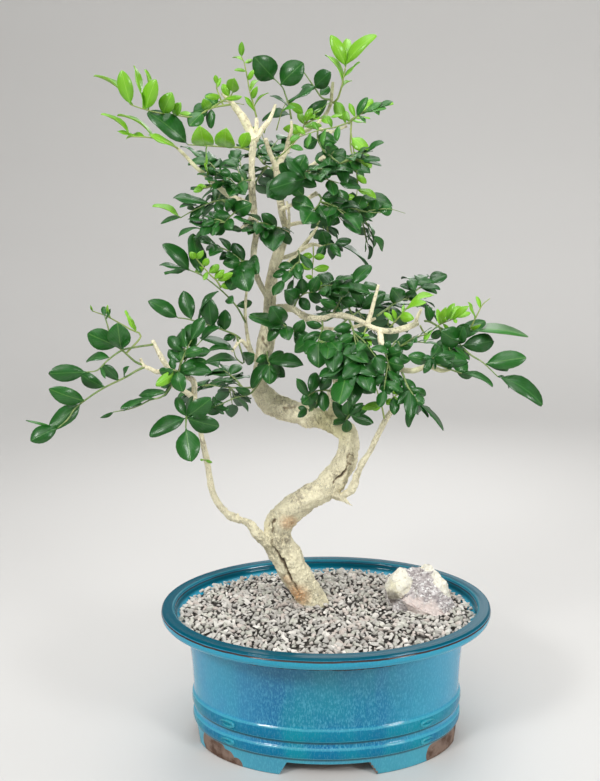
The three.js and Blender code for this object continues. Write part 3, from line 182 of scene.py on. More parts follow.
class Shader:
    """One procedural material, built node by node around a single Principled shader."""

    def __init__(self, name):
        self.material = bpy.data.materials.new(name)
        self.material.use_nodes = True
        tree = self.material.node_tree
        tree.nodes.clear()
        self.nodes = tree.nodes
        self.links = tree.links
        self.shader = self.node("ShaderNodeBsdfPrincipled")
        out = self.node("ShaderNodeOutputMaterial")
        self.links.new(self.shader.outputs[0], out.inputs[0])
        self.place = self.node("ShaderNodeTexCoord").outputs["Object"]

    def node(self, kind, inputs=None, **settings):
        node = self.nodes.new(kind)
        for key, value in settings.items():
            setattr(node, key, value)
        for key, value in (inputs or {}).items():
            self.feed(node.inputs[key], value)
        return node

    def feed(self, socket, value):
        if isinstance(value, bpy.types.NodeSocket):
            self.links.new(value, socket)
        else:
            opaque = socket.type == "RGBA" and len(value) == 3
            socket.default_value = (*value, 1) if opaque else value

    def set(self, **values):
        """Sets inputs of the Principled shader by name, with _ for a space."""
        for key, value in values.items():
            self.feed(self.shader.inputs[key.replace("_", " ")], value)

    def stretched(self, x, y, z):
        return self.node("ShaderNodeMapping", {"Vector": self.place, "Scale": (x, y, z)}).outputs[0]

    def noise(self, scale, detail=4.0, rough=0.55, vector=None, distortion=0.0):
        inputs = {"Vector": vector or self.place, "Scale": scale, "Detail": detail}
        inputs.update({"Roughness": rough, "Distortion": distortion})
        return self.node("ShaderNodeTexNoise", inputs).outputs[0]

    def cells(self, scale, vector=None, output="Distance"):
        inputs = {"Vector": vector or self.place, "Scale": scale}
        return self.node("ShaderNodeTexVoronoi", inputs).outputs[output]

    def sums(self, operation, a, b=0.0):
        return self.node("ShaderNodeMath", {0: a, 1: b}, operation=operation).outputs[0]

    def times(self, a, b):
        return self.sums("MULTIPLY", a, b)

    def plus(self, a, b):
        return self.sums("ADD", a, b)

    def less(self, a, b):
        return self.sums("SUBTRACT", a, b)

    def most(self, *values):
        top = values[0]
        for value in values[1:]:
            top = self.sums("MAXIMUM", top, value)
        return top

    def between(self, value, low, high, start=0.0, end=1.0):
        """Smoothly carries a value's range low..high onto start..end."""
        inputs = {0: value, 1: low, 2: high, 3: start, 4: end}
        return self.node("ShaderNodeMapRange", inputs, interpolation_type="SMOOTHSTEP").outputs[0]

    def window(self, value, low, high, soft):
        """1 inside low..high, falling to 0 over `soft` outside it."""
        rise = self.between(value, low - soft, low)
        fall = self.between(value, high, high + soft, 1.0, 0.0)
        return self.times(rise, fall)

    def mix(self, share, a, b):
        return self.node("ShaderNodeMix", {0: share, 6: a, 7: b}, data_type="RGBA").outputs[2]

    def lay(self, share, colour):
        """Lays a colour over the body colour, as strongly as `share` says."""
        self.body = self.mix(share, self.body, colour)

    def ramp(self, value, *stops):
        node = self.node("ShaderNodeValToRGB", {0: value})
        ramp = node.color_ramp
        while len(ramp.elements) < len(stops):
            ramp.elements.new(0.5)
        for element, (position, colour) in zip(ramp.elements, stops):
            element.position = position
            element.color = (*colour[:3], 1)
        return node.outputs[0]

    def attribute(self, name, output="Fac"):
        return self.node("ShaderNodeAttribute", attribute_name=name).outputs[output]

    def parts(self, vector):
        return self.node("ShaderNodeSeparateXYZ", {0: vector}).outputs

    def near(self, x, y, z, reach, soft):
        """1 within `reach` millimetres of a place, 0 beyond `reach + soft`."""
        spot = tuple(at(x, y, z))
        away = self.node("ShaderNodeVectorMath", {0: self.place, 1: spot}, operation="DISTANCE")
        return self.between(away.outputs["Value"], reach * MM, (reach + soft) * MM, 1.0, 0.0)

    def finish(self, roughness, height, strength, distance):
        """Sets the body colour, the roughness and the fine relief, and gives back the material."""
        inputs = {"Height": height, "Strength": strength, "Distance": distance}
        relief = self.node("ShaderNodeBump", inputs).outputs[0]
        self.set(Base_Color=self.body, Roughness=roughness, Normal=relief)
        return self.material


def settings():
    """The add-on's own settings, which the panel shows."""
    return bpy.context.scene.bonsai


# Where bare clay shows on the feet: x, y, z and reach.
CLAY_MARKS = (
    (-109, -42, 9, 8), (-101, -51, 7, 8), (-92, -58, 3, 7), (-82, -63, 1, 5), (98, -52, 5, 8),
    (107, -40, 9, 10), (114, -28, 12, 9), (36.6, -78, 11, 1.8), (38.4, -77.5, 8, 1.8), (40.2, -77, 5, 1.8),
    (42, -76.5, 2, 1.8),
)  # fmt: skip


# The two raised bands: height of their lower and upper edge.
BANDS = ((18.5, 27.5), (34.5, 45.5))


def glaze_material(name="glaze", thin=0.0):
    """The mottled glaze, with painted light and shade; `thin` is how far it has run off raised work, down
    to its pale tone.
    """
    wish = settings().pot
    s = Shader(name)
    x, y, z = s.parts(s.place)
    height = s.times(z, 1 / MM)
    runs = s.noise(1.0, 5.0, 0.6, s.stretched(820, 820, 300))
    grit = s.noise(900.0, 3.0, 0.6)
    broad = s.noise(1.0, 3.0, 0.5, s.stretched(24, 24, 7), 0.4)
    s.body = s.mix(s.between(broad, 0.38, 0.64), (0.003, 0.145, 0.335), wish.glaze)
    s.lay(s.between(runs, 0.44, 0.68, 0.0, 0.5), wish.pale)
    s.lay(s.between(grit, 0.56, 0.74, 0.0, 0.28), wish.pale)
    upper_wall = s.between(height, 60, 108, 0.0, 0.3)
    s.lay(upper_wall, (0.09, 0.26, 0.38))
    # Painted light: both ends of the pot are lightened towards a paler blue.
    aside = s.sums("ABSOLUTE", s.sums("DIVIDE", s.less(x, MIDDLE.x), RIM_A * MM))
    s.lay(s.between(aside, 0.22, 0.72, 0.0, 0.55), (0.07, 0.42, 0.66))

    lip_light = s.window(height, POT_TOP - 10.5, POT_TOP - 4.2, 1.5)
    s.lay(s.times(lip_light, 0.7), (0.01, 0.33, 0.48))
    top_face = s.between(height, POT_TOP - 2.4, POT_TOP - 1.2)
    s.lay(top_face, wish.dark)
    wander = s.times(s.less(s.noise(60.0), 0.5), 1.2)
    wavy = s.plus(height, wander)
    brown_line = s.window(wavy, POT_TOP - 3.5, POT_TOP - 2.5, 0.5)
    s.lay(brown_line, (0.045, 0.025, 0.02))
    deep = s.mix(s.between(broad, 0.40, 0.60), (0.0, 0.165, 0.31), (0.0, 0.245, 0.33))
    bands = 0.0
    for low, high in BANDS:
        band = s.window(wavy, low, high - 1.5, 0.8)
        band = s.times(band, s.between(runs, 0.35, 0.75, 1.0, 0.55))
        s.lay(band, deep)
        bands = s.most(bands, band)
        for edge in (low, high):
            line = s.window(wavy, edge - 0.5, edge + 0.5, 0.7)
            s.lay(s.times(line, 0.42), (0.08, 0.48, 0.56))
        # Painted shade: a dark line in the crease under each band's lower edge.
        band_shade = s.window(wavy, low - 2.6, low - 1.2, 0.6)
        s.lay(s.times(band_shade, 0.8), (0.02, 0.08, 0.09))

    if thin:
        s.lay(s.between(runs, 0.3, 0.7, thin * 0.6, thin), (0.10, 0.52, 0.60))

    ring = s.times(s.between(height, POT_TOP - 10, POT_TOP - 6), inside_mask(s, x, y))
    s.lay(ring, wish.dark)
    inner_edge = s.times(s.window(oval_share(s, x, y, 10.9), 0.985, 1.0, 0.008), 0.5)
    top_only = s.between(height, POT_TOP - 1.6, POT_TOP - 0.6)
    s.lay(s.times(inner_edge, top_only), (0.06, 0.36, 0.46))

    # Painted light: the foot's shaded face is lightened towards a paler blue; the same mask keeps bare clay
    # to the foot.
    plinth = s.between(height, 17.2, 14.6)
    s.lay(s.times(plinth, 0.55), (0.09, 0.42, 0.50))
    worn = s.noise(95.0, 4.0, 0.6)
    patches = 0.0
    for *spot, reach in CLAY_MARKS:
        patches = s.most(patches, s.near(*spot, reach, reach * 0.9))
    ragged = s.plus(s.times(patches, 0.75), s.times(worn, 0.55))
    patch = s.between(ragged, 0.67, 0.79)
    bare = s.times(patch, plinth)
    down = s.parts(s.node("ShaderNodeNewGeometry").outputs["True Normal"])[2]
    sole = s.times(s.between(down, -0.7, -0.9), s.between(height, 15.5, 14.0))
    bare = s.most(bare, sole)
    clay = s.mix(s.between(worn, 0.35, 0.6), wish.clay, (0.25, 0.17, 0.13))
    s.lay(bare, clay)
    thick = s.most(ring, top_face, s.times(bands, 0.6))
    s.set(Specular_IOR_Level=s.between(thick, 0.0, 1.0, 0.42, 0.1), Coat_Roughness=0.04)
    s.set(Coat_Weight=s.between(thick, 0.0, 1.0, 0.06, 0.01), IOR=1.46)
    ripple = s.plus(s.noise(130.0, 2.0), s.times(runs, 0.4))
    return s.finish(s.between(bare, 0.0, 1.0, 0.12, 0.72), ripple, 0.16, 0.0006)


def oval_share(s, x, y, inset):
    """Distance from the pot's middle as a share of an oval that lies inside the rim."""
    a = s.sums("DIVIDE", s.less(x, MIDDLE.x), (RIM_A - inset) * MM)
    b = s.sums("DIVIDE", s.less(y, MIDDLE.y), (RIM_B - inset) * MM)
    return s.sums("SQRT", s.plus(s.times(a, a), s.times(b, b)))


def inside_mask(s, x, y):
    return s.between(oval_share(s, x, y, 11.5), 1.0, 0.985)


def stone_material(colours):
    """Loose angular stone: each grain has its own tone, painted shade on its lower part, and fine dust and
    specks.
    """
    s = Shader("gravel_stone")
    dust = s.noise(420.0, 5.0, 0.65)
    speck = s.noise(1500.0, 3.0, 0.6)
    own = s.attribute("tone")
    s.body = s.ramp(own, *zip((0.0, 0.45, 0.85, 1.0), colours))
    tint = s.sums("FRACT", s.times(own, 37.0))
    s.lay(s.between(tint, 0.72, 0.9, 0.0, 0.5), (0.62, 0.50, 0.44))
    s.lay(s.between(tint, 0.3, 0.1, 0.0, 0.45), (0.52, 0.54, 0.44))
    s.lay(s.between(dust, 0.4, 0.75, 0.0, 0.3), colours[2])
    s.lay(s.between(speck, 0.6, 0.72, 0.0, 0.3), colours[0])
    # Painted shade: each grain darkens towards its lower side, next to the bed.
    s.lay(s.between(s.attribute("lift"), -0.5, 0.1, 0.84, 0.0), (0.04, 0.035, 0.03))
    return s.finish(0.85, s.plus(dust, s.times(speck, 0.5)), 0.3, 0.0004)


def grit_material(name, colour, light):
    s = Shader(name)
    crumbs = s.cells(330.0)
    fine = s.noise(800.0, 4.0)
    s.body = s.mix(s.between(crumbs, 0.1, 0.7), light, colour)
    s.lay(s.between(fine, 0.4, 0.7, 0.0, 0.6), colour)
    return s.finish(0.97, s.less(fine, crumbs), 0.9, 0.0016)


def rock_material():
    wish = settings().rock
    s = Shader("rock")
    broad = s.noise(60.0, 4.0, 0.6)
    fine = s.noise(420.0, 5.0, 0.7)
    grains = s.cells(520.0, s.stretched(1, 1, 1.7), output="Color")
    sparkle = s.parts(grains)[0]
    crystal = s.ramp(
        sparkle,
        (0.0, (0.30, 0.26, 0.26)),
        (0.5, wish.crystal),
        (0.72, (0.66, 0.61, 0.60)),
        (0.9, (0.97, 0.95, 0.93)),
    )
    crust = s.mix(s.between(fine, 0.30, 0.50), (0.70, 0.62, 0.42), wish.crust)
    crust = s.mix(s.between(broad, 0.5, 0.75, 0.0, 0.6), crust, (0.95, 0.88, 0.55))
    blush = s.mix(s.between(fine, 0.3, 0.6), wish.blush, (0.78, 0.69, 0.65))
    wobble = s.times(s.less(broad, 0.5), 1.7)
    left = s.near(63, 2, 148, 9, 16)
    lobes = s.most(left, s.near(112, 12, 143, 10, 14), s.near(97, 12, 160, 4, 10))
    cream = s.between(s.plus(lobes, wobble), 0.4, 0.62)
    low = s.most(s.near(72, -14, 133, 3, 11), s.near(82, -18, 128, 4, 13), s.near(99, -20, 122, 6, 15))
    pink = s.between(s.plus(low, wobble), 0.3, 0.75)
    s.body = s.mix(pink, crystal, blush)
    s.lay(cream, crust)
    pits = s.between(s.noise(180.0, 5.0, 0.75), 0.62, 0.78, 0.0, 0.5)
    s.lay(pits, (0.13, 0.10, 0.09))
    slant = s.node("ShaderNodeMapping", {"Vector": s.place, "Rotation": (0, -0.45, 0)}).outputs[0]
    slant = s.node("ShaderNodeMapping", {"Vector": slant, "Scale": (80, 80, 620)}).outputs[0]
    layers = s.noise(1.0, 3.0, 0.6, slant)
    seams = s.times(pink, s.between(layers, 0.46, 0.36, 0.0, 0.6))
    s.lay(seams, (0.40, 0.27, 0.24))
    # Painted shade in the hollow under the left lobe's front.
    crevice_shade = s.plus(s.near(59, -7, 131, 4, 11), s.times(wobble, 0.8))
    crevice_shade = s.between(crevice_shade, 0.4, 0.9)
    s.lay(s.times(crevice_shade, 0.7), (0.10, 0.075, 0.055))
    ridges = s.times(s.times(layers, pink), 1.6)
    crags = s.plus(s.plus(fine, s.times(sparkle, 0.6)), ridges)
    return s.finish(0.72, crags, 0.8, 0.0014)


# Stains on the bark: x, y, z and reach, and for the rusty ones how strong they are.
RUST_MARKS = ((-27, -1, 133, 5, 0.85), (-36, -1, 148, 2, 0.5), (-33, -8, 208, 3, 0.6))
SOOT_MARKS = ((-28, -8, 316, 4), (-25, -10, 228, 3), (-16, -6, 240, 3), (-38, -6, 187, 3))


def bark_material():
    wish = settings().wood
    s = Shader("bark")
    broad = s.noise(42.0, 4.0, 0.6)
    flakes = s.noise(190.0, 5.0, 0.62)
    specks = s.noise(620.0, 3.0, 0.6)
    rough_patch = s.noise(75.0, 3.0, 0.6, distortion=0.8)
    s.body = s.mix(s.between(broad, 0.45, 0.75, 0.0, 0.35), wish.bark, (0.86, 0.74, 0.44))
    s.lay(s.between(flakes, 0.34, 0.46, 0.35, 0.0), wish.shade)
    fleck = s.noise(1.0, 4.0, 0.7, s.stretched(900, 900, 480))
    s.lay(s.between(fleck, 0.56, 0.68, 0.0, 0.6), (0.40, 0.33, 0.20))
    s.lay(s.between(fleck, 0.46, 0.34, 0.0, 0.7), (1.0, 0.96, 0.72))
    s.lay(s.between(flakes, 0.58, 0.75, 0.0, 0.5), (0.98, 0.92, 0.72))
    scabs = s.times(s.between(rough_patch, 0.54, 0.7), s.between(specks, 0.5, 0.62))
    s.lay(s.times(scabs, 0.45), wish.crack)
    vein = s.noise(1.0, 5.0, 0.7, s.stretched(240, 240, 95), 1.4)
    vein = s.between(s.sums("ABSOLUTE", s.less(vein, 0.5)), 0.0, 0.022, 1.0, 0.0)
    vein = s.times(vein, s.between(broad, 0.42, 0.62, 0.1, 0.6))
    s.lay(vein, (0.17, 0.125, 0.075))
    streak = s.between(fleck, 0.3, 0.6, 0.35, 1.0)
    for x, y, z, reach, share in RUST_MARKS:
        tint = s.times(s.near(x, y, z, reach, reach * 1.6 + 4), streak)
        s.lay(s.times(tint, share), (0.80, 0.40, 0.16))
    for x, y, z, reach in SOOT_MARKS:
        soot = s.times(s.near(x, y, z, reach, 11), s.between(flakes, 0.46, 0.62))
        s.lay(s.times(soot, 0.75), (0.27, 0.22, 0.15))
    lichen = s.near(8, -8, 300, 8, 20)
    s.lay(s.times(lichen, 0.35), (0.66, 0.64, 0.22))
    # Painted shade: the trunk's grooves are darkened, most where they are deepest.
    groove_shade = s.attribute("crack")
    s.lay(s.between(groove_shade, 0.06, 0.6, 0.0, 0.9), (0.25, 0.18, 0.10))
    s.lay(s.between(groove_shade, 0.55, 1.0, 0.0, 0.85), wish.crack)
    height = s.plus(flakes, s.times(specks, 0.35))
    return s.finish(0.78, s.less(height, s.times(vein, 0.6)), 0.9, 0.0022)


def twig_material():
    wish = settings().wood
    s = Shader("twig")
    flakes = s.noise(260.0, 4.0, 0.6)
    rings = s.noise(1.0, 2.0, 0.5, s.stretched(160, 160, 620))
    s.body = s.mix(s.between(flakes, 0.30, 0.52), wish.shade, wish.bark)
    s.lay(s.between(rings, 0.30, 0.5, 0.4, 0.0), wish.shade)
    green = s.between(s.attribute("green"), 0.0, 1.0)
    s.lay(green, settings().leaf.stalk)
    return s.finish(0.7, flakes, 0.4, 0.0006)


def leaf_material():
    wish = settings().leaf
    s = Shader("leaf")
    u, v, under = s.parts(s.attribute("leaf_place", "Vector"))
    side = s.sums("ABSOLUTE", v)
    tone = s.attribute("tone")
    s.body = s.ramp(
        tone,
        (0.0, wish.old),
        (0.3, (0.016, 0.13, 0.014)),
        (0.55, wish.middle),
        (1.0, wish.young),
    )
    cloud = s.noise(150.0, 3.0, 0.6)
    bloom = s.mix(tone, (0.035, 0.17, 0.06), (0.10, 0.34, 0.015))
    s.lay(s.between(cloud, 0.45, 0.75, 0.0, 0.3), bloom)
    rib = s.between(side, 0.006, 0.032, 1.0, 0.0)
    slant = s.less(s.times(u, 46.0), s.times(side, 52.0))
    veins = s.between(s.sums("SINE", slant), 0.72, 1.0)
    rim = s.between(side, 0.40, 0.5)
    lines = s.most(s.times(rib, 0.5), s.times(veins, 0.12), s.times(rim, 0.12))
    s.lay(lines, s.mix(tone, (0.07, 0.22, 0.05), (0.42, 0.72, 0.12)))
    pale = s.mix(s.between(tone, 0.2, 0.9), (0.04, 0.125, 0.045), (0.24, 0.48, 0.04))
    s.lay(under, pale)
    gloss = s.between(under, 0.0, 1.0, 0.31, 0.6)
    return s.finish(gloss, s.less(s.times(cloud, 0.4), lines), 0.35, 0.0004)


def stalk_material():
    wish = settings().leaf
    s = Shader("stalk")
    stripes = s.noise(300.0, 3.0, 0.6)
    tone = s.attribute("tone")
    s.body = s.mix(tone, (0.12, 0.22, 0.06), wish.stalk)
    s.lay(s.between(stripes, 0.4, 0.7, 0.0, 0.45), (0.48, 0.50, 0.22))
    return s.finish(0.5, stripes, 0.3, 0.0003)


def screen_material():
    s = Shader("screen")
    threads = s.node("ShaderNodeTexWave", {"Vector": s.place, "Scale": 260.0}).outputs["Fac"]
    s.body = s.mix(threads, (0.012, 0.012, 0.012), (0.035, 0.035, 0.033))
    return s.finish(0.55, threads, 0.4, 0.0003)


# Shapes


def smooth_line(rows, step):
    """A smooth line of (place, radius) through [x, y, z, radius] rows, a point every `step` mm."""
    points = [Vector(row[:3]) for row in rows]
    radii = [row[3] for row in rows]
    first = points[0] * 2 - points[1]
    last = points[-1] * 2 - points[-2]
    held = [first, *points, last]
    wide = [radii[0], *radii, radii[-1]]
    line = []
    for i in range(1, len(held) - 2):
        a, b, c, d = held[i - 1 : i + 3]
        count = max(1, round((c - b).length / step))
        for k in range(count):
            t = k / count
            bend = (c - a) * t + (a * 2 - b * 5 + c * 4 - d) * t * t + (b * 3 - a - c * 3 + d) * t**3
            line.append((b + bend * 0.5, wide[i] + (wide[i + 1] - wide[i]) * t * t * (3 - 2 * t)))
    line.append((points[-1], radii[-1]))
    return line


def loft(mesh, rings):
    """Joins each closed ring of vertices to the next with four-sided faces."""
    for low, high in zip(rings, rings[1:]):
        for i in range(len(low)):
            k = (i + 1) % len(low)
            mesh.faces.new((low[i], low[k], high[k], high[i]))


def close(mesh, rings):
    """Lofts a row of rings and caps both ends."""
    loft(mesh, rings)
    mesh.faces.new(list(reversed(rings[0])))
    mesh.faces.new(rings[-1])


def add_tube(mesh, line, sides, blunt=0.35, shape=None):
    """Adds a closed tube to a bmesh, with rounded ends, and gives back its new vertices."""
    rings = []
    side = Vector((0, -1, 0))
    count = len(line)
    for i, (place, radius) in enumerate(line):
        along = (line[min(i + 1, count - 1)][0] - line[max(i - 1, 0)][0]).normalized()
        side = side - along * side.dot(along)
        if side.length < 0.2:
            side = Vector((1, 0, 0)) - along * along.x
        side.normalize()
        across = along.cross(side)
        slices = [(place, radius)]
        if i == 0:
            slices.insert(0, (place - along * radius * blunt, radius * 0.62))
        if i == count - 1:
            slices.append((place + along * radius * blunt, radius * 0.62))
        for middle, reach in slices:
            ring = []
            for j in range(sides):
                angle = 2 * math.pi * j / sides
                swell = shape(i / max(count - 1, 1), angle) if shape else 1
                out = side * math.cos(angle) + across * math.sin(angle)
                ring.append(mesh.verts.new(at(*(middle + out * reach * swell))))
            rings.append(ring)
    close(mesh, rings)
    return [vertex for ring in rings for vertex in ring]


def new_mesh(name, mesh):
    """Turns a bmesh into mesh data and frees it."""
    data = bpy.data.meshes.new(name)
    mesh.to_mesh(data)
    mesh.free()
    return data


def new_object(name, data):
    """Puts a bmesh, or data of any other kind, into the scene as an object."""
    if isinstance(data, bmesh.types.BMesh):
        data.normal_update()
        data = new_mesh(name, data)
    thing = bpy.data.objects.new(name, data)
    bpy.context.scene.collection.objects.link(thing)
    return thing


def coat(thing, material):
    """Gives an object one material in place of what it has."""
    thing.data.materials.clear()
    thing.data.materials.append(material)


def applied(thing):
    """Applies every modifier of an object and leaves a plain mesh."""
    bpy.context.view_layer.update()
    graph = bpy.context.evaluated_depsgraph_get()
    data = bpy.data.meshes.new_from_object(thing.evaluated_get(graph), depsgraph=graph)
    thing.modifiers.clear()
    old = thing.data
    thing.data = data
    data.name = thing.name
    if old.users == 0:
        bpy.data.meshes.remove(old)
    return thing


def drop(*things):
    """Removes objects together with meshes that nothing else uses."""
    for thing in things:
        data = thing.data
        bpy.data.objects.remove(thing)
        if data and data.users == 0:
            bpy.data.meshes.remove(data)


def drop_shapes(shapes):
    """Removes a collection of shapes that Geometry Nodes has picked from."""
    drop(*shapes.objects)
    bpy.data.collections.remove(shapes)


def declare(piece, slot, *nodes, smooth=None):
    """Last step for a piece: shading, the body it rides on and the nodes it stands for; `slot` is not used.
    """
    data = piece.data
    data.shade_smooth()
    if smooth is not None:
        data.set_sharp_from_angle(angle=math.radians(smooth))
    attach(piece, "root")
    if nodes:
        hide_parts(*nodes)


def wave(place, scale, seed=0.0):
    """Smooth noise at a place in metres, with about `scale` waves in a millimetre."""
    return noise.noise(place * (scale / MM) + Vector((seed, seed * 1.7, -seed)))


# Pot

# Half lengths of the foot, height of its gaps, height of the floor's upper face, and width of a side
# gap at its top.
FOOT_A = 123.5
FOOT_B = 79.5
FOOT_HEIGHT = 13.0
FLOOR_TOP = 21.0
SIDE_GAP_TOP = 38.0

# How much wider the cutter of a front or side gap is at its lower edge, just under the ground, than
# at its top, and how far the pot's cut edges are rounded.
FRONT_GAP_SLANT = 18
SIDE_GAP_SLANT = 17
EDGE_ROUND = 1.1

# The drain holes: distance of each from the pot's middle, and radius.
DRAIN_X = 48
DRAIN_RADIUS = 11

# The moulded scrolls: height on the wall, length and height of each; how far their middles are from
# the pot's, and the steps along each.
SCROLLS = ((40, 14, 2.8), (23, 12, 2.3))
SCROLL_X = 88
SCROLL_STEPS = 18


def wall_level(z, offset):
    """Half lengths of the pot's wall at a height: it flares slowly towards the lip."""
    t = z / (POT_TOP - 16)
    flare = 1.2 * t + 5.5 * t**3
    return Vector((FOOT_A + flare + offset, FOOT_B + flare * 1.15 + offset, z))


def rounded_profile(corners, steps=4):
    """Rounds each (point, radius) corner of an open profile."""
    points = []
    for i, (corner, radius) in enumerate(corners):
        if radius <= 0 or i in (0, len(corners) - 1):
            points.append(corner)
            continue
        before = corners[i - 1][0] - corner
        after = corners[i + 1][0] - corner
        reach = min(radius, before.length * 0.48, after.length * 0.48)
        start = corner + before.normalized() * reach
        end = corner + after.normalized() * reach
        for k in range(steps + 1):
            t = k / steps
            points.append(start * (1 - t) ** 2 + corner * 2 * t * (1 - t) + end * t * t)
    return points


def pot_profile():
    """Corners of the pot's section from the ground over the lip to the floor, each with a radius."""
    rim = Vector((RIM_A, RIM_B, POT_TOP))
    low = POT_TOP - 10.5

    def lip(inset, z):
        return Vector((rim.x - inset, rim.y - inset, z))

    return [
        (wall_level(0, -0.6), 0),
        (wall_level(0.9, 0.2), 0.8),
        (wall_level(14.5, 0.2), 2.0),
        (wall_level(17.4, 0.5), 1.2),
        (wall_level(18.8, 2.3), 1.1),
        (wall_level(23.0, 2.9), 3.0),
        (wall_level(27.3, 2.2), 1.2),
        (wall_level(29.0, 0.1), 1.4),
        (wall_level(33.2, 0.2), 1.4),
        (wall_level(34.9, 2.3), 1.2),
        (wall_level(40.0, 2.9), 3.5),
        (wall_level(45.2, 2.2), 1.2),
        (wall_level(47.2, 0.2), 2.0),
        (wall_level(76, 0), 8),
        (wall_level(100, 0), 6),
        (wall_level(110.5, 0.6), 3),
        (lip(9, low - 2.6), 3),
        (lip(2.2, low - 0.2), 2.2),
        (lip(0.2, low + 3.0), 1.4),
        (lip(0, POT_TOP - 3.6), 0.8),
        (lip(0.75, POT_TOP - 2.9), 0.5),
        (lip(0.25, POT_TOP - 2.1), 0.6),
        (lip(1.5, POT_TOP), 1.3),
        (lip(6, POT_TOP - 0.5), 3),
        (lip(10.4, POT_TOP), 1.2),
        (lip(12.0, POT_TOP - 1.6), 1.4),
        (lip(14.0, POT_TOP - 7.5), 3),
        (wall_level(110, -6.3), 4),
        (wall_level(70, -6.3), 8),
        (wall_level(28, -7), 5),
        (wall_level(FLOOR_TOP, -12), 3),
        (wall_level(FLOOR_TOP, -40), 0),
    ]


def solid_oval(name, levels, sectors):
    """Closed solid of oval rings, with flat ends."""
    mesh = bmesh.new()
    rings = []
    for a, b, z in levels:
        turn = [2 * math.pi * i / sectors for i in range(sectors)]
        rings.append([mesh.verts.new(at(a * math.cos(t), b * math.sin(t), z)) for t in turn])
    close(mesh, rings)
    return new_object(name, mesh)


def gap_bar(name, bottom, top, along_x):
    """Bar with slanted sides that cuts one foot gap right through the pot's foot."""
    mesh = bmesh.new()
    corners = [(-bottom / 2, -3), (bottom / 2, -3), (top / 2, FOOT_HEIGHT), (-top / 2, FOOT_HEIGHT)]
    rings = []
    for far in (-160, 160):
        ends = [at(far, w, z) if along_x else at(w, far, z) for w, z in corners]
        rings.append([mesh.verts.new(place) for place in ends])
    close(mesh, rings)
    bmesh.ops.recalc_face_normals(mesh, faces=mesh.faces)
    return new_object(name, mesh)


def cut(thing, *cutters):
    """Cuts other objects out of a thing, and drops them."""
    for cutter in cutters:
        knife = thing.modifiers.new(cutter.name, "BOOLEAN")
        knife.operation = "DIFFERENCE"
        knife.solver = "EXACT"
        knife.object = cutter
    applied(thing)
    drop(*cutters)


class BONSAI_OT_pot(bpy.types.Operator):
    """Makes the glazed oval pot with its lip, raised bands, scroll ends and cut feet"""

    bl_idname = "bonsai.pot"
    bl_label = "Glazed pot"

    def execute(self, context):
        wish = settings().pot
        levels = rounded_profile(pot_profile())
        pot = solid_oval("pot_glazed", levels, wish.sectors)
        recess = [wall_level(-3, -14.5), wall_level(10.5, -14.5), wall_level(FOOT_HEIGHT + 0.4, -17)]
        recess = solid_oval("recess", recess, wish.sectors)
        top = wish.foot_gap
        front = gap_bar("front_gap", top + FRONT_GAP_SLANT, top, False)
        side = gap_bar("side_gap", SIDE_GAP_TOP + SIDE_GAP_SLANT, SIDE_GAP_TOP, True)
        holes = []
        radius = DRAIN_RADIUS * MM
        for x in (-DRAIN_X, DRAIN_X):
            mesh = bmesh.new()
            place = Matrix.Translation(at(x, 0, 18))
            size = {"radius1": radius, "radius2": radius, "depth": 30 * MM}
            bmesh.ops.create_cone(mesh, cap_ends=True, segments=40, matrix=place, **size)
            holes.append(new_object(f"hole_{len(holes)}", mesh))
        cut(pot, recess, front, side, *holes)
        soften = pot.modifiers.new("edges", "BEVEL")
        soften.width = EDGE_ROUND * MM
        soften.segments = 3
        soften.limit_method = "ANGLE"
        soften.angle_limit = math.radians(50)
        applied(pot)
        coat(pot, glaze_material())
        declare(pot, "pot", "pot", smooth=42)
        self.scrolls(glaze_material("glaze_thin", 0.4))
        return {"FINISHED"}

    def scrolls(self, material):
        """Small moulded scroll ends that sit on the upper band at both shoulders, front and back."""
        mesh = bmesh.new()
        for end in (-1, 1):
            for face in (-1, 1):
                for z, length, height in SCROLLS:
                    line = []
                    for k in range(SCROLL_STEPS + 1):
                        t = k / SCROLL_STEPS
                        turn = t * 2 * math.pi
                        grow = 1 - 0.35 * t
                        x = end * (SCROLL_X + length * 0.5 * math.cos(turn) * grow)
                        level = wall_level(z, 3.1)
                        y = face * level.y * math.sqrt(max(0, 1 - (x / level.x) ** 2))
                        radius = 1.4 * math.sin(math.pi * min(1, max(0.12, t * 0.94 + 0.05)))
                        line.append((Vector((x, y, z + height * math.sin(turn) * grow)), radius))
                    add_tube(mesh, line, 8)
        piece = new_object("pot_scrolls", mesh)
        coat(piece, material)
        declare(piece, "pot")


# Filling


def geometry_tree(name, sockets):
    """New Geometry Nodes tree with named inputs; gives the tree and a helper that adds nodes."""
    tree = bpy.data.node_groups.new(name, "GeometryNodeTree")
    tree.interface.new_socket("Geometry", in_out="INPUT", socket_type="NodeSocketGeometry")
    for label, kind, value in sockets:
        socket = tree.interface.new_socket(label, in_out="INPUT", socket_type=kind)
        if value is not None:
            socket.default_value = value
    tree.interface.new_socket("Geometry", in_out="OUTPUT", socket_type="NodeSocketGeometry")

    def add(kind, inputs=None, **set_to):
        node = tree.nodes.new(kind)
        for key, value in set_to.items():
            setattr(node, key, value)
        for key, value in (inputs or {}).items():
            socket = node.inputs[key]
            if isinstance(value, bpy.types.NodeSocket):
                tree.links.new(value, socket)
            else:
                socket.default_value = value
        return node

    return tree, add


def live_output(node):
    """The one output that a node's kind of data leaves switched on."""
    return next(socket for socket in node.outputs if socket.enabled)


def random_value(tree, add, kind, low, high, seed):
    """Adds a random value between two limits and gives back its output."""
    node = add("FunctionNodeRandomValue", data_type=kind)
    live = {socket.name: socket for socket in node.inputs if socket.enabled}
    live["Min"].default_value = low
    live["Max"].default_value = high
    tree.links.new(seed, live["Seed"])
    return live_output(node)


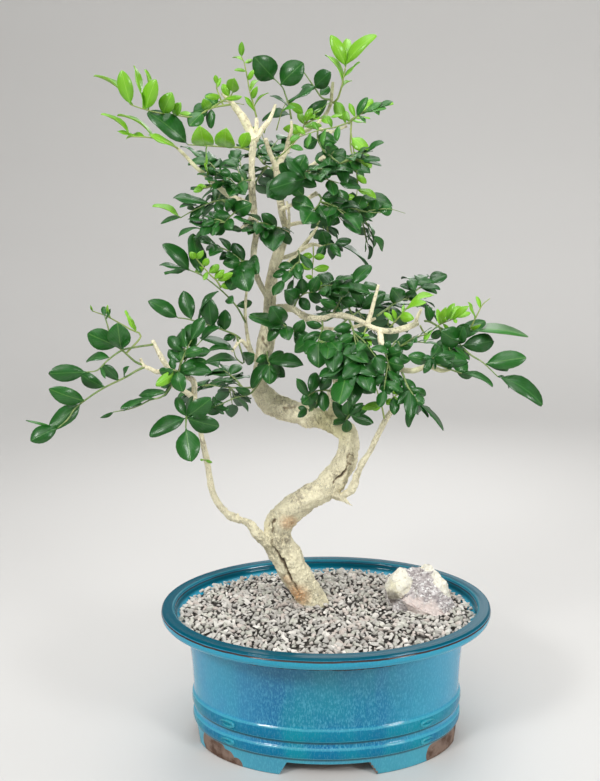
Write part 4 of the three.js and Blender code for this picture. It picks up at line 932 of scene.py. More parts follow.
def placed_shapes(add, inputs, points, index, spin, size):
    """Stands a shape of the collection on every point; `index` says which, `spin` and `size` how."""
    picked = {
        "Points": points,
        "Instance": add("GeometryNodeCollectionInfo", {0: inputs["Shapes"], 1: True, 2: True}).outputs[0],
        "Pick Instance": True,
        "Instance Index": index,
        "Rotation": add("FunctionNodeEulerToRotation", {0: spin}).outputs[0],
        "Scale": size,
    }
    return add("GeometryNodeInstanceOnPoints", picked).outputs[0]


def dressed(add, shapes, material):
    """Realizes instances and gives them their material."""
    whole = add("GeometryNodeRealizeInstances", {0: shapes}).outputs[0]
    return add("GeometryNodeSetMaterial", {0: whole, "Material": material}).outputs[0]


def run_tree(thing, tree, **values):
    """Runs a tree on an object with its named inputs, and leaves a plain mesh."""
    modifier = thing.modifiers.new(tree.name, "NODES")
    modifier.node_group = tree
    keys = {item.name: item.identifier for item in tree.interface.items_tree if item.in_out == "INPUT"}
    for label, value in values.items():
        modifier[keys[label.replace("_", " ")]] = value
    return applied(thing)


# The gravel: how many forms its grains have, how deep the dark bed, which is painted shade between
# the grains, and the bed that carries the grains are below the gravel's top, a grain's scale beside
# the grain size setting, and the shares of the grain colour that make its shades.
GRAIN_FORMS = 8
SHADE_BED_DEPTH = 4.2
GRAIN_DEPTH = 2.2
GRAIN_SWELL = 1.15
GRAIN_SHADES = (0.72, 0.98, 1.2, 1.5)


def grain_shapes(count, seed):
    """A few angular grains, each the hull of a handful of points, in a collection of their own."""
    draw = random.Random(seed)
    shapes = bpy.data.collections.new("grain_shapes")
    for i in range(count):
        mesh = bmesh.new()
        lift = mesh.verts.layers.float.new("lift")
        long = draw.uniform(0.5, 0.78)
        flat = draw.uniform(0.26, 0.4)
        for _ in range(11):
            place = Vector([draw.gauss(0, 1) for _ in range(3)]).normalized()
            place *= draw.uniform(0.85, 1.05)
            vertex = mesh.verts.new((place.x * long, place.y * 0.38, place.z * flat))
            vertex[lift] = place.z
        hull = bmesh.ops.convex_hull(mesh, input=mesh.verts)
        spare = [item for item in hull["geom_interior"] if isinstance(item, bmesh.types.BMVert)]
        bmesh.ops.delete(mesh, geom=spare, context="VERTS")
        bmesh.ops.recalc_face_normals(mesh, faces=mesh.faces)
        name = f"grain_{i}"
        shapes.objects.link(bpy.data.objects.new(name, new_mesh(name, mesh)))
    return shapes


def grain_tree():
    """Strews grains over the faces of a bed that look up, each turned, sized and toned by chance."""
    tree, add = geometry_tree(
        "Grains on a bed",
        (
            ("Shapes", "NodeSocketCollection", None),
            ("Material", "NodeSocketMaterial", None),
            ("Spacing", "NodeSocketFloat", 0.003),
            ("Size", "NodeSocketFloat", 0.005),
            ("Seed", "NodeSocketInt", 1),
        ),
    )
    inputs = add("NodeGroupInput").outputs
    seed = inputs["Seed"]
    up = add("ShaderNodeSeparateXYZ", {0: add("GeometryNodeInputNormal").outputs[0]}).outputs[2]
    lying = add("FunctionNodeCompare", {0: up, 1: 0.3}, data_type="FLOAT").outputs[0]
    points = add(
        "GeometryNodeDistributePointsOnFaces",
        {
            "Mesh": inputs["Geometry"],
            "Selection": lying,
            "Distance Min": inputs["Spacing"],
            "Density Max": 400000.0,
            "Seed": seed,
        },
        distribute_method="POISSON",
    )

    def draw(kind, low, high, offset):
        shifted = add("ShaderNodeMath", {0: seed, 1: offset}, operation="ADD").outputs[0]
        return random_value(tree, add, kind, low, high, shifted)

    spin = draw("FLOAT_VECTOR", (-0.5, -0.5, -3.15), (0.5, 0.5, 3.15), 1)
    share = draw("FLOAT", 0.62, 1.42, 2)
    size = add("ShaderNodeMath", {0: share, 1: inputs["Size"]}, operation="MULTIPLY").outputs[0]
    form = draw("INT", 0, GRAIN_FORMS - 1, 3)
    grains = placed_shapes(add, inputs, points.outputs["Points"], form, spin, size)
    toned = add(
        "GeometryNodeStoreNamedAttribute",
        {"Geometry": grains, "Name": "tone", "Value": draw("FLOAT", 0.0, 1.0, 4)},
        data_type="FLOAT",
        domain="INSTANCE",
    )
    out = add("NodeGroupOutput")
    tree.links.new(dressed(add, toned.outputs[0], inputs["Material"]), out.inputs[0])
    return tree


GRAVEL_TOP = 123.0

# Where grains are kept away: this far inside the rim's edge, at the trunk's foot (x, y and reach) and
# under the rock (x, y and half lengths).
GRAIN_INSET = 14.8
TRUNK_FOOT = (-11.5, 13, 12)
ROCK_FOOT = (90, 6, 27, 17)


def gravel_height(x, y):
    """Height of the gravel bed in millimetres: low at the wall, a mound round the trunk's foot."""
    a, b = RIM_A - 15.5, RIM_B - 15.5
    out = math.hypot(x / a, y / b)
    height = GRAVEL_TOP - 1.2 + 1.4 * (1 - out * out)
    height += 1.6 * math.exp(-((x + 11) ** 2 + (y - 12) ** 2) / 900)
    return height + 1.3 * wave(Vector((x, y, 0)) * MM, 0.045, 3) + 0.8 * wave(Vector((x, y, 0)) * MM, 0.16)


def gravel_bed(depth):
    """The gravel's bed, `depth` millimetres under its top, with a skirt at the wall."""
    mesh = bmesh.new()
    sectors, rings = 96, 26
    a, b = RIM_A - 14.6, RIM_B - 14.6
    rows = []
    for k in range(rings, 0, -1):
        share = k / rings
        row = []
        for i in range(sectors):
            turn = 2 * math.pi * i / sectors
            x, y = a * share * math.cos(turn), b * share * math.sin(turn)
            row.append(mesh.verts.new(at(x, y, gravel_height(x, y) - depth)))
        rows.append(row)
    skirt = [mesh.verts.new(vertex.co - Vector((0, 0, 6 * MM))) for vertex in rows[0]]
    rows.insert(0, skirt)
    loft(mesh, rows)
    middle = mesh.verts.new(at(0, 0, gravel_height(0, 0) - depth))
    for i in range(sectors):
        mesh.faces.new((rows[-1][i], rows[-1][(i + 1) % sectors], middle))
    mesh.faces.new(list(reversed(skirt)))
    return new_object("gravel_bed", mesh)


class BONSAI_OT_gravel(bpy.types.Operator):
    """Lays the gravel: a dark bed of painted shade with loose angular grains over it"""

    bl_idname = "bonsai.gravel"
    bl_label = "Gravel"

    def execute(self, context):
        wish = settings().gravel
        bed = gravel_bed(SHADE_BED_DEPTH)
        upper = gravel_bed(GRAIN_DEPTH)
        # The lower bed's dark colour is painted shade between the grains.
        coat(bed, grit_material("gravel_grit", wish.gaps, (0.20, 0.18, 0.16)))
        shades = [[channel * share for channel in wish.stone[:3]] for share in GRAIN_SHADES]
        shapes = grain_shapes(GRAIN_FORMS, wish.seed)
        grains = new_object("gravel_grains", upper.data.copy())
        drop(upper)
        run_tree(
            grains,
            grain_tree(),
            Shapes=shapes,
            Material=stone_material(shades),
            Spacing=wish.spacing,
            Size=wish.grain * GRAIN_SWELL,
            Seed=wish.seed,
        )
        drop_shapes(shapes)
        self.keep_clear(grains)
        declare(bed, "gravel", "gravel", smooth=60)
        declare(grains, "gravel", "gravel", smooth=1)
        return {"FINISHED"}

    def keep_clear(self, grains):
        """Takes away the grains that would stand inside the trunk, the rock or the pot's wall."""
        mesh = bmesh.new()
        mesh.from_mesh(grains.data)
        seen = set()
        gone = []
        for start in mesh.verts:
            if start.index in seen:
                continue
            seen.add(start.index)
            island, queue = [start], [start]
            while queue:
                for edge in queue.pop().link_edges:
                    for vertex in edge.verts:
                        if vertex.index not in seen:
                            seen.add(vertex.index)
                            island.append(vertex)
                            queue.append(vertex)
            middle = sum((vertex.co for vertex in island), Vector()) / len(island)
            x, y, _ = (middle - MIDDLE) / MM
            outside = math.hypot(x / (RIM_A - GRAIN_INSET), y / (RIM_B - GRAIN_INSET)) > 1
            foot_x, foot_y, reach = TRUNK_FOOT
            if outside or math.hypot(x - foot_x, y - foot_y) < reach or rock_floor(x, y):
                gone += island
        bmesh.ops.delete(mesh, geom=gone, context="VERTS")
        mesh.to_mesh(grains.data)
        mesh.free()


def rock_floor(x, y):
    """True under the middle of the rock."""
    middle_x, middle_y, a, b = ROCK_FOOT
    return ((x - middle_x) / a) ** 2 + ((y - middle_y) / b) ** 2 < 1


class BONSAI_OT_filling(bpy.types.Operator):
    """Dresses the soil and the drain screens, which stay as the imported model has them"""

    bl_idname = "bonsai.filling"
    bl_label = "Soil and screens"

    def execute(self, context):
        soil = grit_material("soil_crumb", (0.035, 0.022, 0.014), (0.12, 0.08, 0.05))
        mesh_plastic = screen_material()
        for name, material in (
            ("soil", soil),
            ("drain_screen_left", mesh_plastic),
            ("drain_screen_right", mesh_plastic),
        ):
            data = frame["nodes"][name].data
            for i in range(max(1, len(data.materials))):
                if i < len(data.materials):
                    data.materials[i] = material
                else:
                    data.materials.append(material)
        return {"FINISHED"}


# Rock

# Distance between the vertices of the rock's and the trunk's skin.
SKIN_STEP = 0.85

# Corners of the lumps that the rock is grown together from.
ROCK_LOBES = (
    ((62, -6, 119), (100, -10, 119), (102, 22, 119), (62, 24, 119), (65, 4, 149), (74, 16, 154),
     (84, 0, 150), (90, 12, 156)),
    ((59, 16, 119), (64, 3, 119), (76, -4, 119), (84, 6, 119), (80, 30, 119), (62, 28, 119), (58, -5, 134),
     (56, 8, 141), (58, 22, 139), (63, 2, 151), (70, 12, 156), (80, 14, 154), (82, 0, 146),
     (74, 26, 150), (66, -8, 142)),
    ((69, -11, 134), (75, -16, 131), (99, -22, 122), (112, -15, 121), (110, -4, 130), (80, -4, 138),
     (76, -10, 119), (98, -20, 118), (112, -10, 118)),
    ((78, -14, 119), (96, -19, 119), (112, -12, 119), (123, 0, 119), (120, 16, 119), (104, 30, 119),
     (82, 28, 119), (86, -2, 146), (94, 10, 160.5), (99, 14, 160), (107, 10, 152), (113, 4, 146),
     (116, 14, 138), (104, 24, 144), (88, 20, 150), (78, 10, 138), (98, -12, 133), (84, -12, 132)),
)  # fmt: skip


def remeshed(thing):
    """Joins the closed shells of an object into one even skin."""
    skin = thing.modifiers.new("skin", "REMESH")
    skin.mode = "VOXEL"
    skin.voxel_size = SKIN_STEP * MM
    skin.adaptivity = 0
    return applied(thing)


class BONSAI_OT_rock(bpy.types.Operator):
    """Makes the small rock: a rounded cream lobe grown together with a crystalline peak"""

    bl_idname = "bonsai.rock"
    bl_label = "Rock"

    def execute(self, context):
        mesh = bmesh.new()
        for lobe in ROCK_LOBES:
            part = bmesh.new()
            for corner in lobe:
                part.verts.new(at(*corner))
            bmesh.ops.convex_hull(part, input=part.verts)
            data = new_mesh("lobe", part)
            mesh.from_mesh(data)
            bpy.data.meshes.remove(data)
        bmesh.ops.recalc_face_normals(mesh, faces=mesh.faces)
        rock = remeshed(new_object("rock_stone", mesh))
        skin = bmesh.new()
        skin.from_mesh(rock.data)
        skin.normal_update()
        moves = []
        for vertex in skin.verts:
            place = vertex.co
            plates = noise.voronoi(place * 130)[0]
            chips = (plates[1] - plates[0]) * 2.6
            crags = 1.9 * wave(place, 0.09, 5) + 1.1 * abs(wave(place, 0.21, 9)) - 0.5
            fine = 0.45 * wave(place, 0.55, 2) + 0.3 * wave(place, 1.1, 7)
            x = (place.x - MIDDLE.x) / MM
            round_lobe = min(1, max(0, (84 - x) / 16))
            shift = crags + fine - min(chips, 1.2) * (1.25 - 0.8 * round_lobe) + 0.2
            moves.append(vertex.normal * shift * MM)
        for vertex, move in zip(skin.verts, moves):
            vertex.co += move
        skin.to_mesh(rock.data)
        skin.free()
        coat(rock, rock_material())
        declare(rock, "rock", "rock", smooth=34)
        return {"FINISHED"}


# Wood

# Centre lines: x, y, z and radius of each point.
WOOD = {
    "trunk": [(5, 14, 97, 14), (-11, 14, 121, 13.4), (-24, 12, 144, 13.8), (-32, 11, 159, 14),
        (-39, 10, 174, 14), (-44, 7, 188, 13), (-43, 4, 201, 12.4), (-35, 1, 213, 12.2),
        (-21, -2, 224, 11.8), (-4, -4, 235, 11.6), (9, -5, 246, 11.2), (17, -5, 259, 10.8),
        (22, -4, 271, 9.7), (23, -2, 281, 9.2), (20, -1, 289, 9), (12, 1, 295, 9), (0, 2, 300, 9.3),
        (-17, 5, 304, 9.5), (-32, 7, 308, 9.5), (-46, 8, 314, 9), (-55, 10, 322, 8.2), (-59, 10, 331, 7.2),
        (-57, 10, 341, 6.6), (-55, 8, 354, 6.6), (-52, 8, 369, 7.4), (-49, 7, 382, 7.2), (-48, 7, 394, 6),
        (-47, 7, 415, 5), (-44, 8, 432, 5.1), (-38, 10, 452, 4.9), (-33, 10, 464, 4), (-32, 10, 471, 3.4),
        (-35, 11, 483, 3.3), (-37, 12, 500, 3.2), (-39, 12, 515, 3.3), (-39, 12, 525, 3.4)],
    "left_arm": [(-39, 12, 522, 2.6), (-43, 7, 531, 2.2), (-46, 1, 539, 2), (-48, -4, 546, 1.8)],
    "right_arm": [(-39, 14, 523, 2.8), (-34, 20, 534, 2.5), (-26, 27, 546, 2.2), (-18, 34, 555, 2),
        (-7, 40, 562, 1.8), (3, 43, 571, 1.7), (9, 43, 582, 1.6), (10, 41, 591, 1.5), (11, 40, 600, 1.3)],
    "right_arm_2": [(-31, 23, 538, 2), (-29, 17, 547, 1.8), (-26, 11, 555, 1.5), (-26, 8, 562, 1.2)],
    "right_side": [(-7, 40, 562, 1.6), (8, 39, 557, 1.5), (23, 34, 561, 1.3)],
    "right_side_stub": [(8, 39, 557, 1.4), (7, 37, 543, 1.2)],
    "twin_stem": [(-30, 4, 466, 1.4), (-29, 4, 482, 1.3), (-31, 5, 494, 1.2)],
    "leader": [(-49, 4, 410, 2.8), (-58, -4, 430, 2.7), (-60, -8, 448, 2.7), (-57, -9, 468, 2.8),
        (-59, -9, 486, 3), (-60, -9, 505, 3), (-60, -9, 521, 2.8), (-59, -9, 535, 2.9),
        (-57, -9, 546, 3.2)],
    "leader_left": [(-57, -9, 545, 3.2), (-62, -9, 554, 3.6), (-66, -11, 562, 3.5), (-72, -12, 570, 3),
        (-77, -14, 576, 2.4), (-83, -15, 582, 1.6)],
    "leader_right": [(-57, -9, 545, 2.6), (-50, -8, 554, 2.3), (-45, -6, 560, 2), (-42, -5, 566, 1.6),
        (-39, -4, 574, 1.2)],
    "leader_mid": [(-57, -9, 546, 2.2), (-55, -11, 556, 1.7), (-55, -11, 562, 1.4)],
    "left_limb": [(-60, -9, 488, 2.9), (-68, -14, 493, 2.8), (-77, -18, 497, 2.6), (-84, -24, 502, 2.4),
        (-90, -30, 508, 2.2), (-97, -35, 514, 1.9), (-104, -41, 520, 1.6), (-111, -47, 528, 1.4),
        (-116, -53, 533, 1.2)],
    "left_limb_low": [(-59, -9, 483, 2), (-64, -18, 475, 1.7), (-70, -24, 469, 1.4)],
    "right_limb": [(-42, 8, 433, 3), (-35, 15, 437, 2.5), (-29, 21, 442, 2.3), (-22, 28, 450, 2.2),
        (-16, 36, 457, 2), (-9, 43, 466, 1.6), (-4, 49, 473, 1.2)],
    "right_limb_side": [(-20, 30, 452, 1.9), (-9, 30, 457, 1.8), (0, 31, 455, 1.2)],
    "right_peg": [(-39, 10, 445, 2), (-32, 1, 446, 1.9), (-22, -9, 450, 1.5)],
    "upper_peg": [(-38, 12, 511, 1.8), (-28, 7, 517, 1.6), (-19, 2, 519, 1.6), (-9, -6, 523, 1.7),
        (2, -15, 529, 2.1)],
    "middle_peg": [(-37, 11, 487, 1.9), (-26, 2, 491, 1.7), (-16, -6, 494, 1.8), (-5, -15, 499, 2)],
    "outer_peg": [(-34, 10, 473, 1.9), (-20, 17, 476, 1.7), (-4, 26, 478, 1.7), (9, 31, 487, 1.8),
        (22, 37, 492, 1.3)],
    "mid_twig": [(-58, 7, 349, 2.2), (-64, -1, 363, 2), (-67, -6, 378, 1.6), (-68, -12, 399, 1.4),
        (-66, -15, 420, 1.2)],
    "mid_left": [(-63, 2, 359, 2), (-68, -6, 369, 1.9), (-73, -12, 374, 1.7), (-80, -17, 365, 1.1)],
    "pad_limb": [(-45, 8, 400, 3.6), (-35, 2, 401, 3.4), (-27, -2, 401, 3.2), (-19, -6, 396, 3),
        (-11, -11, 393, 2.9), (-1, -15, 393, 2.8), (9, -19, 396, 2.6), (21, -24, 395, 2.3),
        (32, -28, 391, 2.3), (44, -32, 385, 2.3), (56, -34, 383, 2.6), (68, -32, 385, 2.7),
        (80, -30, 389, 2.3)],
    "pad_limb_low": [(-19, -6, 396, 2.4), (-12, -1, 389, 2.1), (-1, 5, 383, 1.8), (16, 8, 382, 1.6),
        (33, 5, 385, 1.5), (47, 8, 391, 1.3)],
    "pad_peg": [(37, -30, 388, 2.1), (40, -32, 398, 1.9), (43, -35, 410, 1.5), (46, -37, 422, 1.2)],
    "pad_knee": [(48, -32, 384, 2.3), (48, -41, 375, 2.4), (50, -47, 368, 2.1)],
    "pad_end": [(78, -30, 388, 1.6), (80, -30, 395, 1.4), (83, -30, 401, 1.2)],
    "low_limb": [(6, -1, 306, 3.2), (6, -11, 317, 2.7), (7, -19, 328, 2.5), (10, -27, 337, 2.5),
        (7, -31, 348, 2.5), (5, -34, 357, 2.7)],
    "low_limb_right": [(10, -27, 337, 2.4), (19, -35, 340, 2.4), (29, -43, 345, 2.3), (37, -48, 353, 2.2),
        (49, -54, 355, 2.1), (60, -60, 354, 2.2), (72, -64, 353, 2.3), (84, -69, 357, 2.2),
        (94, -72, 354, 1.7), (101, -73, 355, 1.3)],
    "left_sucker": [(-45, 5, 177, 6), (-57, -5, 191, 5.2), (-69, -11, 207, 3.8), (-77, -15, 212, 3.3),
        (-84, -19, 217, 3.2), (-91, -25, 225, 3), (-98, -32, 241, 2.8), (-100, -38, 257, 2.7),
        (-101, -44, 273, 2.5), (-103, -48, 287, 2.4), (-105, -53, 303, 2.3), (-107, -57, 319, 2.2),
        (-108, -60, 334, 2.2), (-108, -62, 346, 2.2), (-116, -64, 351, 2.2), (-126, -69, 357, 2.4),
        (-132, -72, 367, 2.2), (-138, -75, 381, 1.9)],
    "left_fork": [(-126, -69, 357, 2.2), (-136, -70, 355, 2), (-141, -73, 358, 1.8), (-146, -76, 361, 1.6),
        (-148, -77, 367, 1.1)],
    "left_low_arm": [(-108, -60, 331, 2.1), (-114, -64, 337, 2.1), (-120, -67, 341, 1.9),
        (-124, -69, 343, 1.5)],
    "left_hang_arm": [(-108, -59, 326, 1.7), (-111, -66, 324, 1.6), (-113, -72, 319, 1.2)],
    "sucker_spur": [(-77, -15, 212, 1.8), (-79, -15, 218, 0.9)],
    "right_spur": [(8, -9, 234, 4.4), (16, -14, 230, 3), (25, -17, 225, 0.9)],
    "right_sucker": [(15, -12, 232, 3), (23, -18, 239, 2.5), (29, -22, 255, 2.5), (33, -25, 266, 3),
        (40, -28, 278, 2.5), (46, -31, 292, 2.5), (53, -35, 307, 2.4), (59, -40, 318, 2.3),
        (66, -43, 329, 2.4)],
}  # fmt: skip

# These grow into one skin with the trunk; the rest are twigs that leave it with a small collar.
THICK = ("trunk", "left_sucker", "right_sucker", "right_spur", "low_limb", "pad_limb", "leader")

# Above this height the bark's relief fades at a rate that would end it after RELIEF_FADE more. It
# never falls below LEAST_RELIEF, which thin limbs have all over.
RELIEF_HEIGHT = 330
RELIEF_FADE = 110
LEAST_RELIEF = 0.25

# Grooves in the trunk's face: x, y, z, half width and depth of each point.
GROOVES = (
    ((25.6, -15, 271, 0.7, 1.5), (26.4, -15, 267, 0.7, 1.7), (24.4, -15, 263, 0.6, 1.5),
     (21, -15, 263, 0.6, 1), (19.8, -15, 267, 0.5, 0.9), (21.6, -15, 271.5, 0.7, 1.4),
     (25.6, -15, 271, 0.7, 1.5)),
    ((23.4, -15, 269, 2.5, 0.75), (22.6, -15, 266, 2.3, 0.7)),
    ((21, -15, 262, 0.5, 1), (19, -15, 258, 1.2, 2), (16, -16, 254, 1.5, 2.4), (10, -17, 249, 1.1, 2),
     (7, -16, 244, 0.6, 1)),
    ((-46, -8, 210, 1.3, 1.8), (-48, -8, 204, 1.1, 1.6), (-48, -7, 197, 0.8, 1)),
    ((-51, -8, 209, 0.8, 1.6), (-52, -7, 202, 0.7, 1.2)),
    ((-50, -6, 196, 0.7, 0.9), (-48, -5, 185, 0.8, 1.2), (-43, -4, 174, 1.1, 1.8), (-37, -3, 164, 1.9, 3.4),
     (-33, -2, 154, 1.2, 2.2), (-29, -1, 145, 0.8, 1.2)),
    ((-29, -1, 145, 1, 1.4), (-25, 0, 137, 0.9, 1)),
    ((-39, -6, 189, 1.2, 1), (-40, -6, 185, 1, 0.8)),
    ((-23, -13, 225, 0.8, 0.7), (-25, -14, 231, 0.8, 0.7)),
    ((-37, -2, 312, 1, 1), (-26, -3, 312, 1.2, 0.9), (-19, -4, 313, 1, 0.9)),
    ((-37, 1, 427, 2.4, 2.2), (-35, 1, 417, 2.6, 2.4), (-36, 1, 408, 2, 2)),
    ((-55, 2, 377, 1.4, 1), (-51, 2, 367, 1.6, 1)),
)  # fmt: skip


def groove_at(place):
    """How deep the grooves go at a place in millimetres, and how much painted shade darkens them there."""
    deep, dark = 0.0, 0.0
    spot = place * MM
    place = place + Vector((wave(spot, 0.2, 31), 0, wave(spot, 0.2, 47))) * 1.5
    place = place + Vector((wave(spot, 0.7, 5), 0, wave(spot, 0.7, 6))) * 0.7
    for groove in GROOVES:
        for first, second in zip(groove, groove[1:]):
            a, b = Vector(first[:3]), Vector(second[:3])
            run = b - a
            t = min(1.0, max(0.0, (place - a).dot(run) / run.length_squared))
            away = place - a - run * t
            away.y *= 0.22
            width = (first[3] + (second[3] - first[3]) * t) * (1 + 0.9 * wave(spot, 0.3, 61))
            width = max(width, 0.35)
            depth = first[4] + (second[4] - first[4]) * t
            reach = away.length / (width * 1.7)
            if reach < 1:
                part = (1 - reach * reach) ** 2
                deep = max(deep, depth * part)
                dark = max(dark, part**1.6 * min(1.0, depth / 1.9))
            elif reach < 2.2 and deep <= 0:
                deep = min(deep, -0.3 * depth * math.sin(math.pi * (reach - 1) / 1.2))
    return deep, dark


def flutes(t, angle):
    """Shallow ribs that wind along the trunk."""
    ribs = 0.05 * math.sin(2 * angle + 9 * t) + 0.035 * math.sin(3 * angle - 14 * t + 1)
    return 1 + ribs + 0.018 * math.sin(7 * angle + 11 * t)


class BONSAI_OT_wood(bpy.types.Operator):
    """Grows the trunk with its cracked bark, and the twigs and pruned stubs on it"""

    bl_idname = "bonsai.wood"
    bl_label = "Trunk and twigs"

    def execute(self, context):
        self.trunk()
        self.twigs()
        return {"FINISHED"}

    def trunk(self):
        mesh = bmesh.new()
        for name in THICK:
            line = smooth_line(WOOD[name], 2.5)
            sides = 28 if name == "trunk" else 14
            add_tube(mesh, line, sides, shape=flutes if name == "trunk" else None)
        trunk = remeshed(new_object("trunk_bark", mesh))
        relief = settings().wood.relief / MM
        skin = bmesh.new()
        skin.from_mesh(trunk.data)
        axes = {"use_axis_x": True, "use_axis_y": True, "use_axis_z": True}
        bmesh.ops.smooth_vert(skin, verts=skin.verts, factor=0.5, **axes)
        skin.normal_update()
        crack = skin.verts.layers.float.new("crack")
        moves = []
        for vertex in skin.verts:
            place = (vertex.co - MIDDLE) / MM
            lumps = wave(vertex.co, 0.07, 1) + 0.5 * wave(vertex.co, 0.19, 4)
            scaly = abs(wave(vertex.co, 0.33, 8)) + 0.55 * wave(vertex.co, 0.8, 6)
            above = max(0.0, place.z - RELIEF_HEIGHT)
            thick = max(LEAST_RELIEF, 1 - above / RELIEF_FADE)
            thin_limb = abs(place.x + 30) > 62 or place.y < -24
            thick = LEAST_RELIEF if thin_limb else thick
            shift = relief * (1.3 * lumps + 0.75 * scaly) * thick
            # `dark` is the grooves' painted shade, which the crack attribute carries.
            deep, dark = groove_at(place) if vertex.normal.y < 0.35 else (0, 0)
            vertex[crack] = dark
            moves.append(vertex.normal * (shift - deep) * MM)
        for vertex, move in zip(skin.verts, moves):
            vertex.co += move
        skin.to_mesh(trunk.data)
        skin.free()
        coat(trunk, bark_material())
        declare(trunk, "bark", "trunk")

    def twigs(self):
        mesh = bmesh.new()
        green = mesh.verts.layers.float.new("green")
        for number, (name, rows) in enumerate(WOOD.items()):
            if name in THICK:
                continue
            line = smooth_line(rows, 1.6)
            grown = []
            for i, (place, radius) in enumerate(line):
                collar = 1 + 0.45 * math.exp(-i / 2.2)
                lump = 1 + 0.16 * wave(place * MM, 0.22, number) + 0.08 * wave(place * MM, 0.7, number)
                grown.append((place, radius * collar * lump))
            for vertex in add_tube(mesh, grown, 10, blunt=0.15):
                share = ((vertex.co - MIDDLE) / MM - line[0][0]).length / 90
                vertex[green] = min(0.45, share * 0.4) if rows[-1][3] < 1.35 else 0
        twigs = new_object("twigs_fine", mesh)
        coat(twigs, twig_material())
        declare(twigs, "bark", "trunk", smooth=50)


# Leaves

